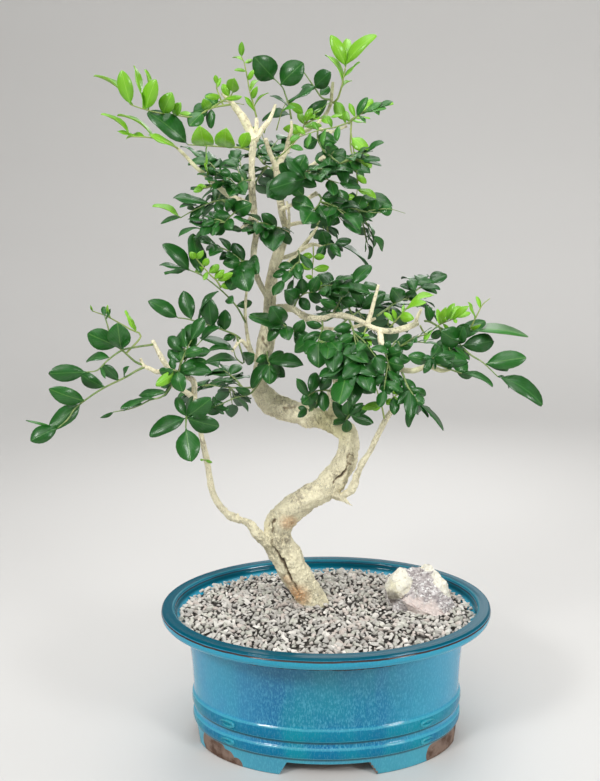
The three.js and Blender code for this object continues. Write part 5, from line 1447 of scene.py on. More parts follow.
# Leafy shoots of each spray. A shoot is its tone (0 old, 1 new), radius, centre line, leaflets and,
# where it has any, fronds. A leaflet is its share along the line, tip x, y, z and width, then, where
# given, the turn of its upper side from front to up and a tone of its own. A frond is its share, tip
# x, y, z, number of leaflets and their length, and a tone of its own where it has one.
SPRAYS = {
    "left_low": [
        (0, 1.1, ((-145, -76, 360), (-152, -80, 357), (-159, -85, 353), (-178, -92, 344), (-195, -101, 332),
          (-200, -108, 324), (-208, -110, 317)),
         ((0.28, -174, -96, 364, 9), (0.42, -195, -85, 356, 11), (0.64, -212, -112, 348, 13),
          (0.68, -214, -112, 318, 14, 15), (1, -227, -118, 309, 13, 15), (1, -232, -112, 324, 2, 20, 0.5),
          (0.22, -154, -95, 363, 5, 50))),
    ],
    "left_arch": [
        (0, 1, ((-138, -76, 378), (-150, -85, 377), (-160, -90, 375), (-170, -96, 368), (-177, -101, 361),
          (-185, -104, 360)),
         ((1, -212, -112, 360, 13), (0.62, -189, -89, 367, 10, 65), (0.8, -169, -112, 357, 3, 25))),
    ],
    "left_round": [
        (0, 1.1, ((-147, -77, 362), (-152, -80, 365), (-161, -85, 375), (-168, -88, 382), (-170, -89, 393),
          (-172, -89, 401)),
         ((0.5, -185, -94, 389, 16), (0.42, -160, -100, 397, 17), (0.38, -152, -97, 383, 5, 50),
          (1, -175, -80, 409, 4, 10), (0.97, -167, -93, 408, 4, 40))),
        (1, 0.9, ((-158.1, -83.4, 371.8), (-147, -77, 385), (-155, -80, 391), (-166, -82, 398),
          (-173, -83, 402), (-183, -85, 406)),
         ((0.98, -182, -93, 411, 2), (0.76, -177, -77, 409, 4, 35), (0.74, -168, -96, 411, 5, 40),
          (0.4, -159, -72, 406, 6, 55), (0.38, -152, -85, 398, 3, 35))),
    ],
    "left_tuft": [
        (0, 1.2, ((-118, -69, 353), (-118, -76, 356), (-121, -82, 358)),
         ((0.6, -135, -85, 346, 10, 0, 1), (0.9, -134, -75, 356, 7), (0.7, -114, -85, 341, 12),
          (0.8, -134, -70, 342, 10, 40), (0.3, -91, -77, 356, 13, 50), (0.5, -97, -64, 363, 10, 15),
          (0.4, -104, -76, 360, 11), (0.9, -123, -78, 367, 6)),
         ((0.5, -107, -73, 381, 4, 18),)),
        (0, 0.9, ((-118, -76, 356), (-130, -75, 337), (-142, -77, 333), (-148, -80, 330), (-157, -83, 327),
          (-170, -86, 325)),
         ((0.47, -161, -87, 326, 7, 70), (0.3, -153, -70, 337, 8, 35), (1, -177, -99, 323, 3),
          (0.16, -133, -65, 333, 3), (0.62, -164, -86, 328, 7, 40))),
    ],
    "left_hang": [
        (0, 1.1, ((-113, -73, 319), (-113, -77, 316), (-113, -80, 310)),
         ((0.2, -142, -84, 305, 14, 25), (0.2, -87, -69, 309, 15), (1, -108, -96, 287, 19),
          (0.1, -122, -65, 333, 8), (0.1, -92, -78, 334, 15), (0.3, -101, -58, 326, 8))),
    ],
    "back_low": [
        (0, 1.1, ((-66, 17, 328), (-74, 34, 325), (-93, 52, 323), (-112, 66, 324)), (),
         ((0.3, -93, 75, 333, 4, 22), (0.95, -126, 78, 315, 4, 22), (0.6, -90, 78, 302, 3, 20))),
    ],
    "mid_low": [
        (0, 1, ((-73, -12, 376), (-76, -15, 379), (-83, -21, 383), (-97, -30, 389), (-113, -38, 395),
          (-122, -44, 397)),
         ((1, -144, -53, 412, 12, 30), (0.8, -119, -32, 419, 13), (0.5, -96, -42, 414, 14),
          (0.28, -84, -25, 402, 11), (0.7, -89, -39, 419, 13, 75), (0.42, -106, -15, 392, 7, 40),
          (0.1, -87, -17, 376, 6))),
        (0, 0.9, ((-76, -15, 379), (-70, -12, 355), (-76, -18, 359), (-78, -22, 367)),
         ((1, -98, -31, 369, 10, 65), (0.72, -106, -13, 355, 14, 70), (0.5, -60, -27, 363, 12),
          (1, -108, -14, 378, 15, 75))),
    ],
    "mid_high": [
        (0, 1, ((-68, -11, 390), (-72, -15, 399), (-76, -19, 406), (-86, -27, 418), (-101, -35, 431),
          (-113, -41, 437)),
         ((0.97, -131, -49, 458, 13, 30), (1, -134, -35, 435, 8, 65), (0.98, -133, -54, 443, 9, 70),
          (0.82, -109, -27, 467, 16, 35), (0.4, -77, -33, 408, 8), (0.25, -62, -7, 407, 7))),
    ],
    "mid_lime": [
        (1, 0.9, ((-87, -28, 421), (-90, -31, 427), (-95, -34, 432), (-102, -38, 441), (-106, -40, 446)),
         ((1, -110, -47, 451, 7), (0.97, -99, -43, 452, 6), (0.75, -95, -43, 445, 7),
          (0.7, -109, -28, 434, 6), (0.5, -87, -39, 440, 8), (0.3, -83, -35, 436, 7),
          (0.2, -76, -41, 433, 7), (0.05, -76, -26, 423, 8), (0.55, -100, -39, 428, 5))),
    ],
    "mid_gloss": [
        (0, 1.1, ((-60, -12, 442), (-65, -19, 443), (-70, -25, 442), (-72, -28, 437)),
         ((0.3, -55, -37, 433, 15), (0.75, -63, -44, 419, 20), (0.7, -84, -33, 442, 11),
          (1, -79, -32, 419, 14), (0.5, -76, -26, 458, 10)),
         ((0.6, -91, -32, 456, 4, 16),)),
    ],
    "ul_end": [
        (1, 0.9, ((-116, -54, 533), (-125, -60, 538), (-136, -66, 540), (-149, -72, 540)),
         ((1, -169, -80, 557, 10, 75), (0.55, -162, -59, 558, 16, 75), (0.05, -135, -68, 543, 9, 50),
          (0.7, -156, -58, 541, 7, 65), (0.9, -159, -74, 545, 5, 55))),
    ],
    "ul_lime": [
        (1, 0.9, ((-76, -19, 572), (-91, -27, 568), (-104, -35, 560), (-116, -43, 560), (-130, -50, 561),
          (-141, -56, 563), (-151, -60, 566)),
         ((1, -155, -69, 590, 14), (0.98, -179, -54, 591, 16, 80), (0.86, -129, -68, 583, 15),
          (0.7, -118, -61, 574, 15), (0.6, -112, -57, 567, 10), (0.4, -119, -24, 565, 7, 45),
          (0.88, -143, -66, 594, 12, 80), (0.84, -139, -52, 594, 13, 75), (0.22, -96, -41, 573, 10),
          (0.3, -107, -42, 553, 12, 0, 0.45))),
        (1, 0.9, ((-91, -27, 568), (-75, -17, 580), (-74, -18, 582)),
         ((1, -72, -36, 588, 13), (0.8, -82, -21, 588, 8), (0.6, -66, -30, 576, 5))),
        (1, 0.9, ((-81.6, -22, 570.5), (-87, -19, 585), (-87, -21, 588)),
         ((1, -87, -26, 594, 5), (0.8, -84, -14, 595, 4), (0.4, -95, -32, 576, 6))),
    ],
    "ul_row": [
        (1, 1, ((-62, -15, 536), (-70, -21, 537), (-81, -27, 537), (-98, -37, 537), (-109, -43, 537)),
         ((1, -139, -51, 562, 18, 35, 0), (0.73, -96, -64, 547, 21), (0.38, -77, -54, 548, 20),
          (0.14, -61, -30, 547, 12), (0.7, -96, -39, 519, 7, 65))),
        (0.3, 0.8, ((-82, -8, 573), (-92, -12, 571), (-100, -14, 567)),
         ((0.3, -97, -14, 581, 11, 25, 0.5), (0.7, -107, -18, 567, 12, 15, 0.1),
          (1, -111, -18, 555, 12, 20, 0.05), (0.6, -94, -14, 554, 9, 20, 0.05))),
    ],
    "ul_mid": [
        (0, 0.9, ((-77, -22, 494), (-84, -27, 494), (-95, -32, 491), (-107, -38, 485), (-117, -43, 479)),
         ((1, -138, -51, 489, 11, 55, 0.9), (0.98, -135, -36, 475, 8, 65), (0.45, -121, -46, 497, 12, 55),
          (0.7, -113, -29, 490, 5), (0.5, -110, -38, 477, 8), (0.3, -91, -18, 504, 5, 20),
          (0.6, -117, -46, 488, 7, 55), (0.28, -84, -35, 482, 8))),
        (0, 1, ((-84, -27, 494), (-73, -27, 486), (-77, -34, 480), (-81, -40, 475)),
         ((0.2, -65, -32, 482, 8), (0.35, -80, -39, 493, 12), (0.5, -59, -41, 489, 13),
          (0.7, -91, -40, 479, 11), (0.9, -74, -48, 469, 9), (1, -90, -28, 464, 8)),
         ((1, -101, -47, 470, 5, 15),)),
    ],
    "ul_small": [
        (1, 0.9, ((-92, -31, 505), (-95, -35, 504), (-98, -38, 503)),
         ((1, -106, -41, 500, 6), (0.6, -105, -30, 506, 5, 30), (0.1, -94, -45, 522, 7, 70))),
    ],
    "ul_tip_leaves": [
        (0, 0.9, ((-90, -31, 510), (-88, -35, 513), (-84, -38, 516)),
         ((0.9, -75, -41, 514, 7), (1, -80, -32, 526, 4, 40), (0.5, -93, -42, 519, 6))),
    ],
    "ul_dark": [
        (0, 1, ((-61, -14, 511), (-67, -24, 509), (-72, -32, 505)),
         ((0.6, -75, -31, 515, 7), (1, -76, -48, 496, 12), (0.8, -63, -44, 497, 12),
          (0.3, -70, -11, 521, 6, 45)),
         ((1, -82, -47, 507, 4, 15),)),
        (0, 1, ((-67, -24, 509), (-69, 17, 505), (-79, 34, 512), (-92, 52, 519)), (),
         ((0.4, -78, 43, 529, 4, 17), (0.7, -100, 54, 503, 5, 18), (1, -109, 63, 538, 5, 18),
          (0.9, -102, 66, 487, 4, 18))),
    ],
    "top_curl": [
        (1, 0.9, ((-55, -11, 563), (-57, -14, 572), (-60, -15, 584), (-62, -17, 596), (-64, -18, 606),
          (-66, -18, 610)),
         ((1, -65, -27, 619, 6), (0.92, -74, -12, 611, 5, 45), (0.75, -71, -30, 597, 4, 25),
          (0.88, -57, -9, 610, 4), (0.6, -56, -20, 599, 5), (0.42, -53, -3, 595, 6, 20),
          (0.3, -53, -24, 585, 6), (0.16, -45, -10, 583, 7, 70), (0.08, -63, -21, 578, 6, 50))),
    ],
    "top_dark": [
        (0, 1, ((-26, 8, 564), (-28, 5, 575), (-31, 4, 584), (-33, 2, 589), (-40, 1, 596)),
         ((1, -55, -20, 609, 20), (0.8, -15, -6, 607, 19), (0.38, -6, -8, 589, 12, 50),
          (0.36, -15, 14, 570, 9, 0, 0.9), (0.2, -44, 2, 582, 8, 70), (0.1, -52, 19, 565, 12, 55))),
    ],
    "top_mid": [
        (0, 1, ((8, 40, 585), (1, 36, 586), (-6, 33, 595), (-15, 30, 607)),
         ((0.55, 7, 18, 604, 15), (0.3, 8, 41, 597, 8), (1, -18, 23, 611, 5), (0.05, -13, 48, 570, 12),
          (0.5, -17, 29, 594, 6, 20))),
    ],
    "top_lime": [
        (1, 1.1, ((11, 40, 582), (15, 36, 585), (18, 33, 593), (20, 30, 601), (22, 28, 611)),
         ((1, 9, 20, 635, 13), (0.97, 23, 46, 640, 14, 25), (1, 48, 15, 633, 16, 35),
          (0.62, 4, 40, 623, 13, 55), (0.7, 33, 26, 615, 7, 60), (0.45, 28, 44, 602, 6, 50),
          (0.1, 19, 28, 567, 12))),
    ],
    "top_right": [
        (1, 1, ((25, 34, 563), (27, 30, 566), (33, 27, 569), (38, 26, 572)),
         ((1, 62, 17, 579, 11, 45), (0.9, 46, 32, 583, 8), (0.4, 42, 16, 566, 5, 50),
          (0.15, 41, 41, 566, 6, 50), (0.5, 25, 24, 579, 6, 25), (0.1, 20, 44, 577, 7))),
        (1, 0.9, ((27, 30, 566), (26, 26, 541), (30, 21, 530), (32, 17, 514), (30, 12, 494)),
         ((0.28, 40, 17, 537, 8), (0.44, 44, 18, 525, 11), (0.7, 39, 11, 509, 7),
          (0.85, 50, 23, 497, 10, 30), (1, 43, 8, 491, 8), (0.98, 20, 9, 498, 7),
          (0.99, 61, 2, 490, 14, 50, 0))),
    ],
    "crown_lime": [
        (1, 1, ((-17, 28, 554), (-16, 20, 558), (-14, 14, 562)),
         ((0.3, -33, 15, 557, 10), (0.8, -20, 22, 572, 7), (1, -8, 11, 573, 8), (0.6, 1, 28, 562, 8, 25),
          (0.2, -28, 21, 543, 8, 35)),
         ((0.8, 7, 5, 564, 5, 13),)),
        (0.75, 0.8, ((25, -12, 558), (11, -16, 553), (-3, -20, 550), (-18, -22, 545)),
         ((0.12, 20, -16, 566, 6, 40, 0.8), (0.25, 13, -20, 541, 6, 40, 0.6),
          (0.4, 4, -20, 561, 6, 30, 0.85), (0.5, 1, -24, 537, 6, 40, 0.5),
          (0.65, -8, -22, 557, 6, 30, 0.75), (0.8, -13, -26, 536, 6, 40, 0.6),
          (0.9, -21, -24, 553, 6, 30, 0.9), (1, -27, -26, 541, 6, 20, 0.7))),
        (0.8, 0.7, ((-50, 12, 553), (-46, 6, 563), (-41, 2, 572)),
         ()),
        (0.7, 0.6, ((-39, 10, 555), (-34, 2, 569), (-29, -4, 577)),
         ((0.6, -22, -6, 571, 4, 40, 0.6),)),
        (0.85, 0.6, ((-96, -6, 577), (-82, -4, 577), (-66, 0, 575)),
         ((0.5, -84, -6, 584, 4, 30, 0.8),)),
        (0.8, 0.7, ((-43, 8, 529), (-32, 0, 535), (-21, -6, 545)),
         ((0.7, -16, -8, 536, 5, 30, 0.5),)),
        (0.6, 0.6, ((-47, 14, 539), (-50, 8, 546), (-52, 4, 554)),
         ((0.8, -59, 2, 557, 5, 30, 0.5),)),
    ],
    "crown_right": [
        (0, 1, ((-3, 40, 558), (-3, 31, 549), (1, 26, 540)),
         ((0.3, 13, 26, 546, 11), (0.7, 17, 35, 535, 11), (1, 8, 22, 524, 12), (0.5, -15, 22, 543, 11)),
         ((1, 25, 11, 524, 5, 16),)),
        (0, 1, ((1, 26, 540), (9, -22, 527), (15, -27, 522)),
         ((0.4, 11, -28, 535, 7), (0.8, 25, -28, 515, 10), (1, 19, -40, 503, 10), (0.7, 3, -33, 512, 11)),
         ((1, 32, -38, 524, 4, 15),)),
        (0.45, 0.8, ((24, -12, 558), (34, -18, 564), (43, -20, 568)),
         ((0.3, 38, -20, 576, 8, 45, 0.25), (0.5, 49, -24, 572, 8, 50, 0.3),
          (0.6, 53, -26, 566, 7, 50, 0.5), (0.9, 47, -26, 561, 6, 50, 0.6), (0.4, 37, -18, 557, 5, 45, 0.4),
          (1, 58, -26, 572, 6, 40, 0.35))),
        (0.1, 0.9, ((10, -4, 536), (7, -8, 527), (4, -10, 520)),
         ((0.2, 20, -12, 528, 13, 20), (0.5, -6, -14, 527, 12, 15), (0.8, 16, -14, 516, 12, 20),
          (1, -1, -14, 510, 12, 15), (0.1, 3, -10, 539, 10, 30, 0.3))),
        (1, 0.7, ((24, -14, 552), (26, -18, 537), (28, -20, 521), (30, -21, 501)),
         ((0.15, 38, -24, 533, 14, 25), (0.4, 41, -25, 519, 14, 25), (0.45, 24, -20, 516, 8, 30, 0.6),
          (0.75, 36, -24, 506, 7, 30), (1, 45, -26, 494, 9, 40))),
    ],
    "crown_front": [
        (0, 1.1, ((-34, 7, 507), (-31, -6, 510), (-26, -18, 512), (-22, -27, 513)),
         ((0.3, -44, -26, 497, 19), (0.5, -16, -5, 498, 12), (0.8, -35, -26, 523, 10),
          (1, -14, -33, 529, 13), (0.9, -5, -28, 504, 10)),
         ((1, 3, -44, 511, 5, 18),)),
        (0.05, 0.8, ((-12, -28, 512), (-15, -34, 510)),
         ((1, -44, -40, 501, 18, 5, 0.02),)),
    ],
    "crown_back": [
        (0, 1, ((-40, 20, 519), (-46, 37, 526), (-53, 54, 531)), (),
         ((0.4, -33, 69, 536, 4, 18), (0.7, -62, 75, 517, 5, 18), (1, -70, 89, 548, 5, 18),
          (1, -41, 89, 557, 4, 17))),
    ],
    "heart_leaves": [
        (0, 1.1, ((-3, -17, 498), (-1, -24, 494), (-4, -31, 488), (-8, -35, 484)),
         ((0.3, 13, -28, 496, 10), (0.7, 4, -39, 474, 12), (1, -16, -58, 472, 18),
          (0.9, -26, -25, 493, 13)),
         ((0.5, 17, -47, 480, 4, 18),)),
    ],
    "pale_round": [
        (0, 1.1, ((-34, 2, 468), (-37, -11, 471), (-41, -19, 471)),
         ((1, -42, -42, 452, 19), (0.6, -56, -5, 464, 11), (0.8, -51, -28, 482, 10), (0.5, -28, 0, 457, 8)),
         ((1, -59, -35, 474, 4, 16),)),
    ],
    "outer_right": [
        (0, 1, ((24, 37, 493), (29, 31, 489), (34, 27, 485)),
         ((0.3, 27, 21, 501, 11), (0.7, 41, 25, 478, 10), (1, 50, 22, 485, 11), (0.9, 27, 22, 473, 10),
          (0.5, 15, 27, 482, 9)),
         ((1, 46, 37, 464, 5, 15),)),
        (0.1, 0.9, ((11, -12, 488), (23, -16, 487), (37, -18, 483), (49, -20, 482)),
         ((0.15, 15, -16, 502, 14, 20), (0.3, 19, -16, 476, 10, 20), (0.5, 33, -20, 496, 14, 20, 0.15),
          (0.7, 42, -20, 478, 9, 25), (1, 58, -22, 487, 12, 30, 0.2), (0.85, 45, -22, 493, 10, 35, 0.1))),
        (0.3, 0.45, ((39, -20, 484), (55, -24, 485), (69, -28, 481)),
         ()),
    ],
    "limb_tip": [
        (0, 1, ((-4, 49, 475), (-1, 50, 480), (3, 52, 483)),
         ((0.5, -3, 39, 492, 11), (1, 17, 44, 477, 11), (0.8, 12, 49, 492, 9), (0.3, -14, 58, 486, 9)),
         ((1, 8, 69, 461, 4, 16),)),
    ],
    "limb_side": [
        (0, 1, ((1, 31, 455), (5, 27, 457), (11, 24, 457)),
         ((0.4, 0, 15, 468, 12), (1, 27, 30, 461, 8, 20), (0.7, 16, 13, 446, 7), (1, 44, 33, 431, 17, 75),
          (0.2, -4, 25, 445, 8))),
    ],
    "thin_twig": [
        (1, 0.8, ((-8, 24, 455), (-8, 20, 445), (-9, 17, 434), (-9, 15, 427)),
         ((0.32, -18, 17, 447, 7), (0.34, 2, 17, 446, 7), (0.7, -20, 4, 439, 7), (0.72, 7, 26, 436, 8),
          (0.98, -15, 10, 429, 5), (1, -1, 9, 417, 10))),
    ],
    "side_front": [
        (0, 1, ((-21, -11, 451), (-20, -18, 447), (-20, -24, 442)),
         ((1, -22, -32, 428, 9), (0.6, -28, -13, 435, 8), (0.3, -9, -28, 437, 7, 25)),
         ((1, -33, -35, 427, 3, 14),)),
    ],
    "fold_leaves": [
        (0, 1.1, ((-25, -6, 404), (-22, -15, 410), (-16, -21, 415), (-11, -25, 416)),
         ((0.4, -33, -34, 418, 15), (0.7, -18, -27, 428, 10), (1, -4, -38, 430, 10), (0.9, -1, -15, 407, 9),
          (0.5, -12, -21, 401, 9)),
         ((1, 9, -38, 420, 4, 18),)),
    ],
    "front_pair": [
        (0, 1.1, ((-42, -2, 393), (-38, -15, 390), (-32, -24, 387), (-24, -27, 382)),
         ((0.55, -63, -28, 398, 13, 45), (0.6, -44, -35, 405, 16), (0.7, -30, -38, 377, 12),
          (1, -17, -38, 393, 10), (0.95, -10, -31, 376, 9), (0.2, -51, 3, 378, 8, 50))),
    ],
    "pad_a": [
        (0, 1.1, ((-1, -21, 391), (-1, -32, 386), (-3, -41, 380), (-5, -46, 376)),
         ((0.6, -18, -46, 377, 8), (1, -5, -60, 356, 18), (0.9, 10, -50, 382, 11),
          (0.8, -25, -33, 366, 12, 40), (0.3, -15, -33, 391, 7)),
         ((1, 13, -59, 368, 5, 22),)),
    ],
    "pad_b": [
        (0, 1.1, ((9, -19, 399), (13, -24, 406), (16, -27, 412)),
         ((0.4, -3, -31, 410, 8), (1, 11, -41, 427, 14), (0.8, 28, -31, 407, 9), (0.6, 6, -16, 417, 8)),
         ((1, 25, -21, 421, 4, 20),)),
    ],
    "pad_c": [
        (0, 1.1, ((22, -30, 392), (24, -41, 387), (25, -50, 381), (26, -56, 375)),
         ((0.3, 8, -47, 386, 8), (0.7, 12, -51, 374, 10), (1, 16, -69, 360, 11), (0.8, 40, -43, 376, 8),
          (0.5, 35, -48, 367, 10, 40)),
         ((1, 30, -73, 354, 5, 26), (0.6, 41, -73, 366, 4, 22))),
    ],
    "pad_back": [
        (0, 1.2, ((16, 14, 385), (22, 31, 388), (30, 49, 392), (40, 66, 397)),
         ((1, 29, 57, 421, 12, 20), (0.9, 61, 67, 412, 13)),
         ((0.3, 7, 52, 394, 4, 20), (0.6, 18, 72, 408, 5, 22), (1, 62, 92, 397, 6, 24),
          (0.8, 49, 84, 374, 5, 22))),
    ],
    "pad_back_far": [
        (0, 1.2, ((49, 11, 393), (58, 23, 398), (68, 37, 403), (81, 49, 407)),
         ((0.8, 63, 26, 417, 15), (1, 84, 32, 414, 12)),
         ((0.4, 62, 46, 381, 4, 22), (0.9, 96, 78, 397, 5, 22), (1, 103, 66, 419, 4, 20))),
    ],
    "pad_lime": [
        (1, 0.9, ((56, -38, 387), (60, -41, 392), (65, -44, 398), (71, -47, 406)),
         ((0.8, 84, -54, 408, 8, 50), (1, 92, -41, 414, 10, 60), (0.5, 74, -54, 395, 10),
          (0.2, 51, -32, 399, 5, 20), (0.3, 57, -46, 402, 5, 25), (0.6, 68, -33, 406, 3, 15))),
    ],
    "pad_lime_low": [
        (1, 0.9, ((36, -35, 386), (34, -43, 383), (34, -47, 381)),
         ((1, 34, -56, 369, 7), (0.6, 27, -37, 373, 6, 30), (0.8, 39, -58, 373, 5))),
    ],
    "pad_dark": [
        (0, 1.1, ((50, -53, 368), (51, -60, 364), (52, -66, 360)),
         ((0.4, 61, -69, 369, 11), (1, 58, -72, 348, 11), (0.7, 38, -69, 361, 10), (0.9, 64, -73, 358, 12),
          (0.5, 70, -64, 362, 9, 35)),
         ((1, 47, -85, 341, 4, 20),)),
        (0, 1, ((51, -60, 364), (60, -47, 376), (63, -53, 372)),
         ((0.4, 50, -50, 375, 7), (1, 72, -57, 373, 7), (0.8, 61, -57, 363, 8), (0.6, 74, -39, 379, 8)),
         ((1, 80, -73, 377, 4, 18),)),
    ],
    "end_curl": [
        (1, 0.9, ((82, -31, 387), (85, -37, 381), (89, -41, 382), (96, -47, 389), (109, -53, 395)),
         ((0.45, 83, -52, 374, 6, 55), (0.62, 95, -41, 402, 6, 25), (0.66, 99, -61, 404, 7, 30),
          (0.75, 98, -56, 395, 5), (0.8, 107, -54, 407, 8, 40), (0.85, 116, -39, 404, 7, 40),
          (0.92, 117, -62, 405, 7, 35), (1, 121, -50, 399, 6, 25), (0.95, 108, -58, 391, 4),
          (0.7, 104, -42, 384, 4))),
    ],
    "end_dark": [
        (0, 1.1, ((86, -31, 391), (89, -38, 391), (96, -41, 387), (104, -43, 382), (115, -44, 371)),
         ((0.2, 85, -47, 405, 7, 15), (0.5, 91, -36, 377, 7), (0.95, 97, -61, 384, 17),
          (1, 144, -35, 374, 15), (0.85, 119, -49, 389, 12), (0.9, 137, -32, 390, 14, 55)),
         ((0.4, 104, -53, 368, 3, 20),)),
    ],
    "end_far": [
        (0, 1, ((117, -46, 368), (123, -50, 363), (131, -56, 358), (142, -63, 347)),
         ((0.6, 164, -65, 363, 15, 35), (0.62, 153, -51, 351, 9, 35), (1, 175, -76, 325, 18, 50),
          (0.96, 153, -54, 336, 7, 60))),
    ],
    "end_bare": [
        (1, 0.8, ((117, -43, 374), (121, -43, 382), (125, -43, 391), (129, -43, 399), (132, -43, 405),
          (138, -43, 410)),
         ((0.5, 120, -51, 408, 7, 55), (0.72, 128, -37, 412, 5, 30), (0.3, 128, -56, 389, 4),
          (0.25, 173, -34, 378, 24, 80, 0.2))),
    ],
    "low_a": [
        (0, 1.1, ((8, -38, 359), (13, -47, 362), (20, -53, 364)),
         ((0.3, 5, -47, 369, 7), (1, 40, -47, 360, 9, 15), (0.8, 21, -63, 375, 7), (0.6, 8, -56, 355, 9)),
         ((1, 17, -76, 351, 4, 26),)),
    ],
    "low_b": [
        (0, 1, ((5, -25, 331), (-2, -35, 333), (-9, -43, 333), (-14, -47, 330)),
         ((0.4, 0, -44, 317, 10), (0.7, -19, -46, 323, 11), (1, -22, -60, 346, 8, 35),
          (0.9, -7, -37, 349, 10), (0.5, 5, -41, 346, 10), (0.95, -12, -35, 314, 8, 40))),
        (0, 0.9, ((-2, -35, 333), (-10, -18, 313), (-15, -24, 315)),
         ((1, -23, -32, 309, 6), (0.5, -21, -11, 322, 7, 50), (0.7, -12, -33, 326, 7))),
    ],
    "low_c": [
        (0, 1, ((30, -50, 344), (24, -59, 340), (17, -64, 336)),
         ((0.5, 39, -67, 336, 7, 15), (1, 8, -59, 327, 8), (0.7, 17, -70, 347, 9), (0.9, 30, -54, 331, 6))),
    ],
    "low_d": [
        (0, 1, ((48, -59, 353), (48, -67, 349), (49, -73, 346)),
         ((1, 51, -88, 339, 11), (0.5, 40, -75, 349, 8), (0.8, 60, -79, 344, 10),
          (0.6, 34, -59, 338, 8, 35))),
    ],
    "low_e": [
        (0, 1.1, ((63, -67, 352), (64, -75, 349), (66, -80, 343), (71, -85, 335), (75, -88, 329)),
         ((0.25, 71, -80, 335, 10), (0.55, 82, -76, 335, 7, 10), (0.6, 67, -95, 320, 10),
          (0.8, 78, -90, 330, 8), (1, 82, -92, 320, 5, 50), (0.98, 90, -76, 318, 8, 65),
          (0.95, 93, -97, 310, 13, 70))),
    ],
    "low_f": [
        (0, 1.1, ((83, -73, 360), (84, -80, 364), (86, -85, 366)),
         ((0.4, 66, -86, 368, 10), (0.8, 105, -77, 366, 10), (1, 97, -98, 363, 6), (0.6, 93, -71, 374, 8),
          (0.9, 78, -88, 354, 6, 15))),
        (0, 1, ((83.6, -77.2, 362.4), (105, -79, 354), (109, -82, 353)),
         ((0.3, 113, -86, 362, 6), (0.8, 119, -75, 350, 7), (1, 131, -95, 344, 9, 70),
          (0.5, 100, -86, 363, 6), (0.9, 126, -86, 348, 7, 65))),
    ],
    "sucker_twig": [
        (1, 0.9, ((51, -40, 309), (48, -46, 322), (43, -51, 337), (37, -57, 349)),
         ((0.35, 31, -55, 320, 8, 10), (0.3, 41, -39, 316, 5), (0.75, 26, -66, 341, 7, 10),
          (1, 31, -60, 355, 5), (0.9, 46, -60, 342, 4))),
    ],
    "sucker_tip": [
        (1, 1, ((64, -47, 332), (60, -53, 331), (56, -57, 329)),
         ((0.4, 56, -56, 338, 7), (1, 51, -62, 325, 6), (0.7, 60, -67, 321, 6))),
    ],
    "curve_sprout": [
        (0, 1, ((19, -14, 301), (20, -22, 306), (22, -27, 310)),
         ((0.3, 8, -26, 321, 10, 10), (0.8, 20, -33, 322, 10), (1, 41, -40, 305, 9, 5),
          (0.5, 20, -12, 291, 9), (0.9, 38, -30, 317, 9, 35), (0.2, 5, -5, 299, 6, 35))),
    ],
    "trunk_front": [
        (0, 1.1, ((-50, -4, 363), (-49, -15, 358), (-47, -22, 354)),
         ((0.3, -59, -18, 356, 7), (1, -47, -30, 338, 13), (0.8, -18, -32, 355, 14, 40),
          (0.6, -35, -6, 363, 7), (0.9, -63, -25, 334, 12, 40), (0.5, -59, -2, 340, 10, 20))),
        (0, 1, ((-47, -22, 354), (-63, -15, 329), (-77, -27, 326), (-94, -41, 320)),
         ((1, -81, -50, 320, 5, 50), (0.98, -95, -35, 329, 4, 20), (0.85, -102, -40, 316, 12),
          (0.97, -117, -29, 317, 12), (0.45, -76, -29, 335, 7), (0.02, -38, 7, 336, 8))),
    ],
    "bark_buds": [
        (1, 0.8, ((-101, -50, 276), (-103, -53, 277)),
         ((1, -105, -57, 279, 3), (0.6, -96, -46, 273, 3, 30))),
    ],
}  # fmt: skip

# Sprays too small to be solids of their own are dressed together with a neighbour.
CARRIED_BY = {
    "ul_small": "ul_mid",
    "ul_tip_leaves": "ul_row",
    "pad_lime_low": "pad_lime",
    "bark_buds": "fold_leaves",
    "sucker_tip": "sucker_twig",
}

# A leaflet's outline, as share of its length and half its width there, and its columns of vertices.
LEAF_ROWS = (
    (0, 0.03), (0.06, 0.06), (0.13, 0.20), (0.23, 0.34), (0.36, 0.45), (0.51, 0.50), (0.66, 0.48),
    (0.79, 0.40), (0.89, 0.28), (0.96, 0.15), (1, 0.03),
)  # fmt: skip
LEAF_COLUMNS = (-1, 0, 1)

# Length in metres of the leaflet that the thickness setting speaks of.
MIDDLING_LEAF = 0.018

# Fold, arch, droop and ripple of each form.
LEAF_FORMS = (
    (0.10, 0.05, 0.02, 0.0),
    (0.22, 0.09, 0.05, 0.02),
    (0.05, 0.02, 0.10, -0.03),
    (0.30, 0.06, 0.03, 0.03),
    (0.15, 0.12, 0.00, -0.02),
    (0.08, -0.03, 0.06, 0.04),
)


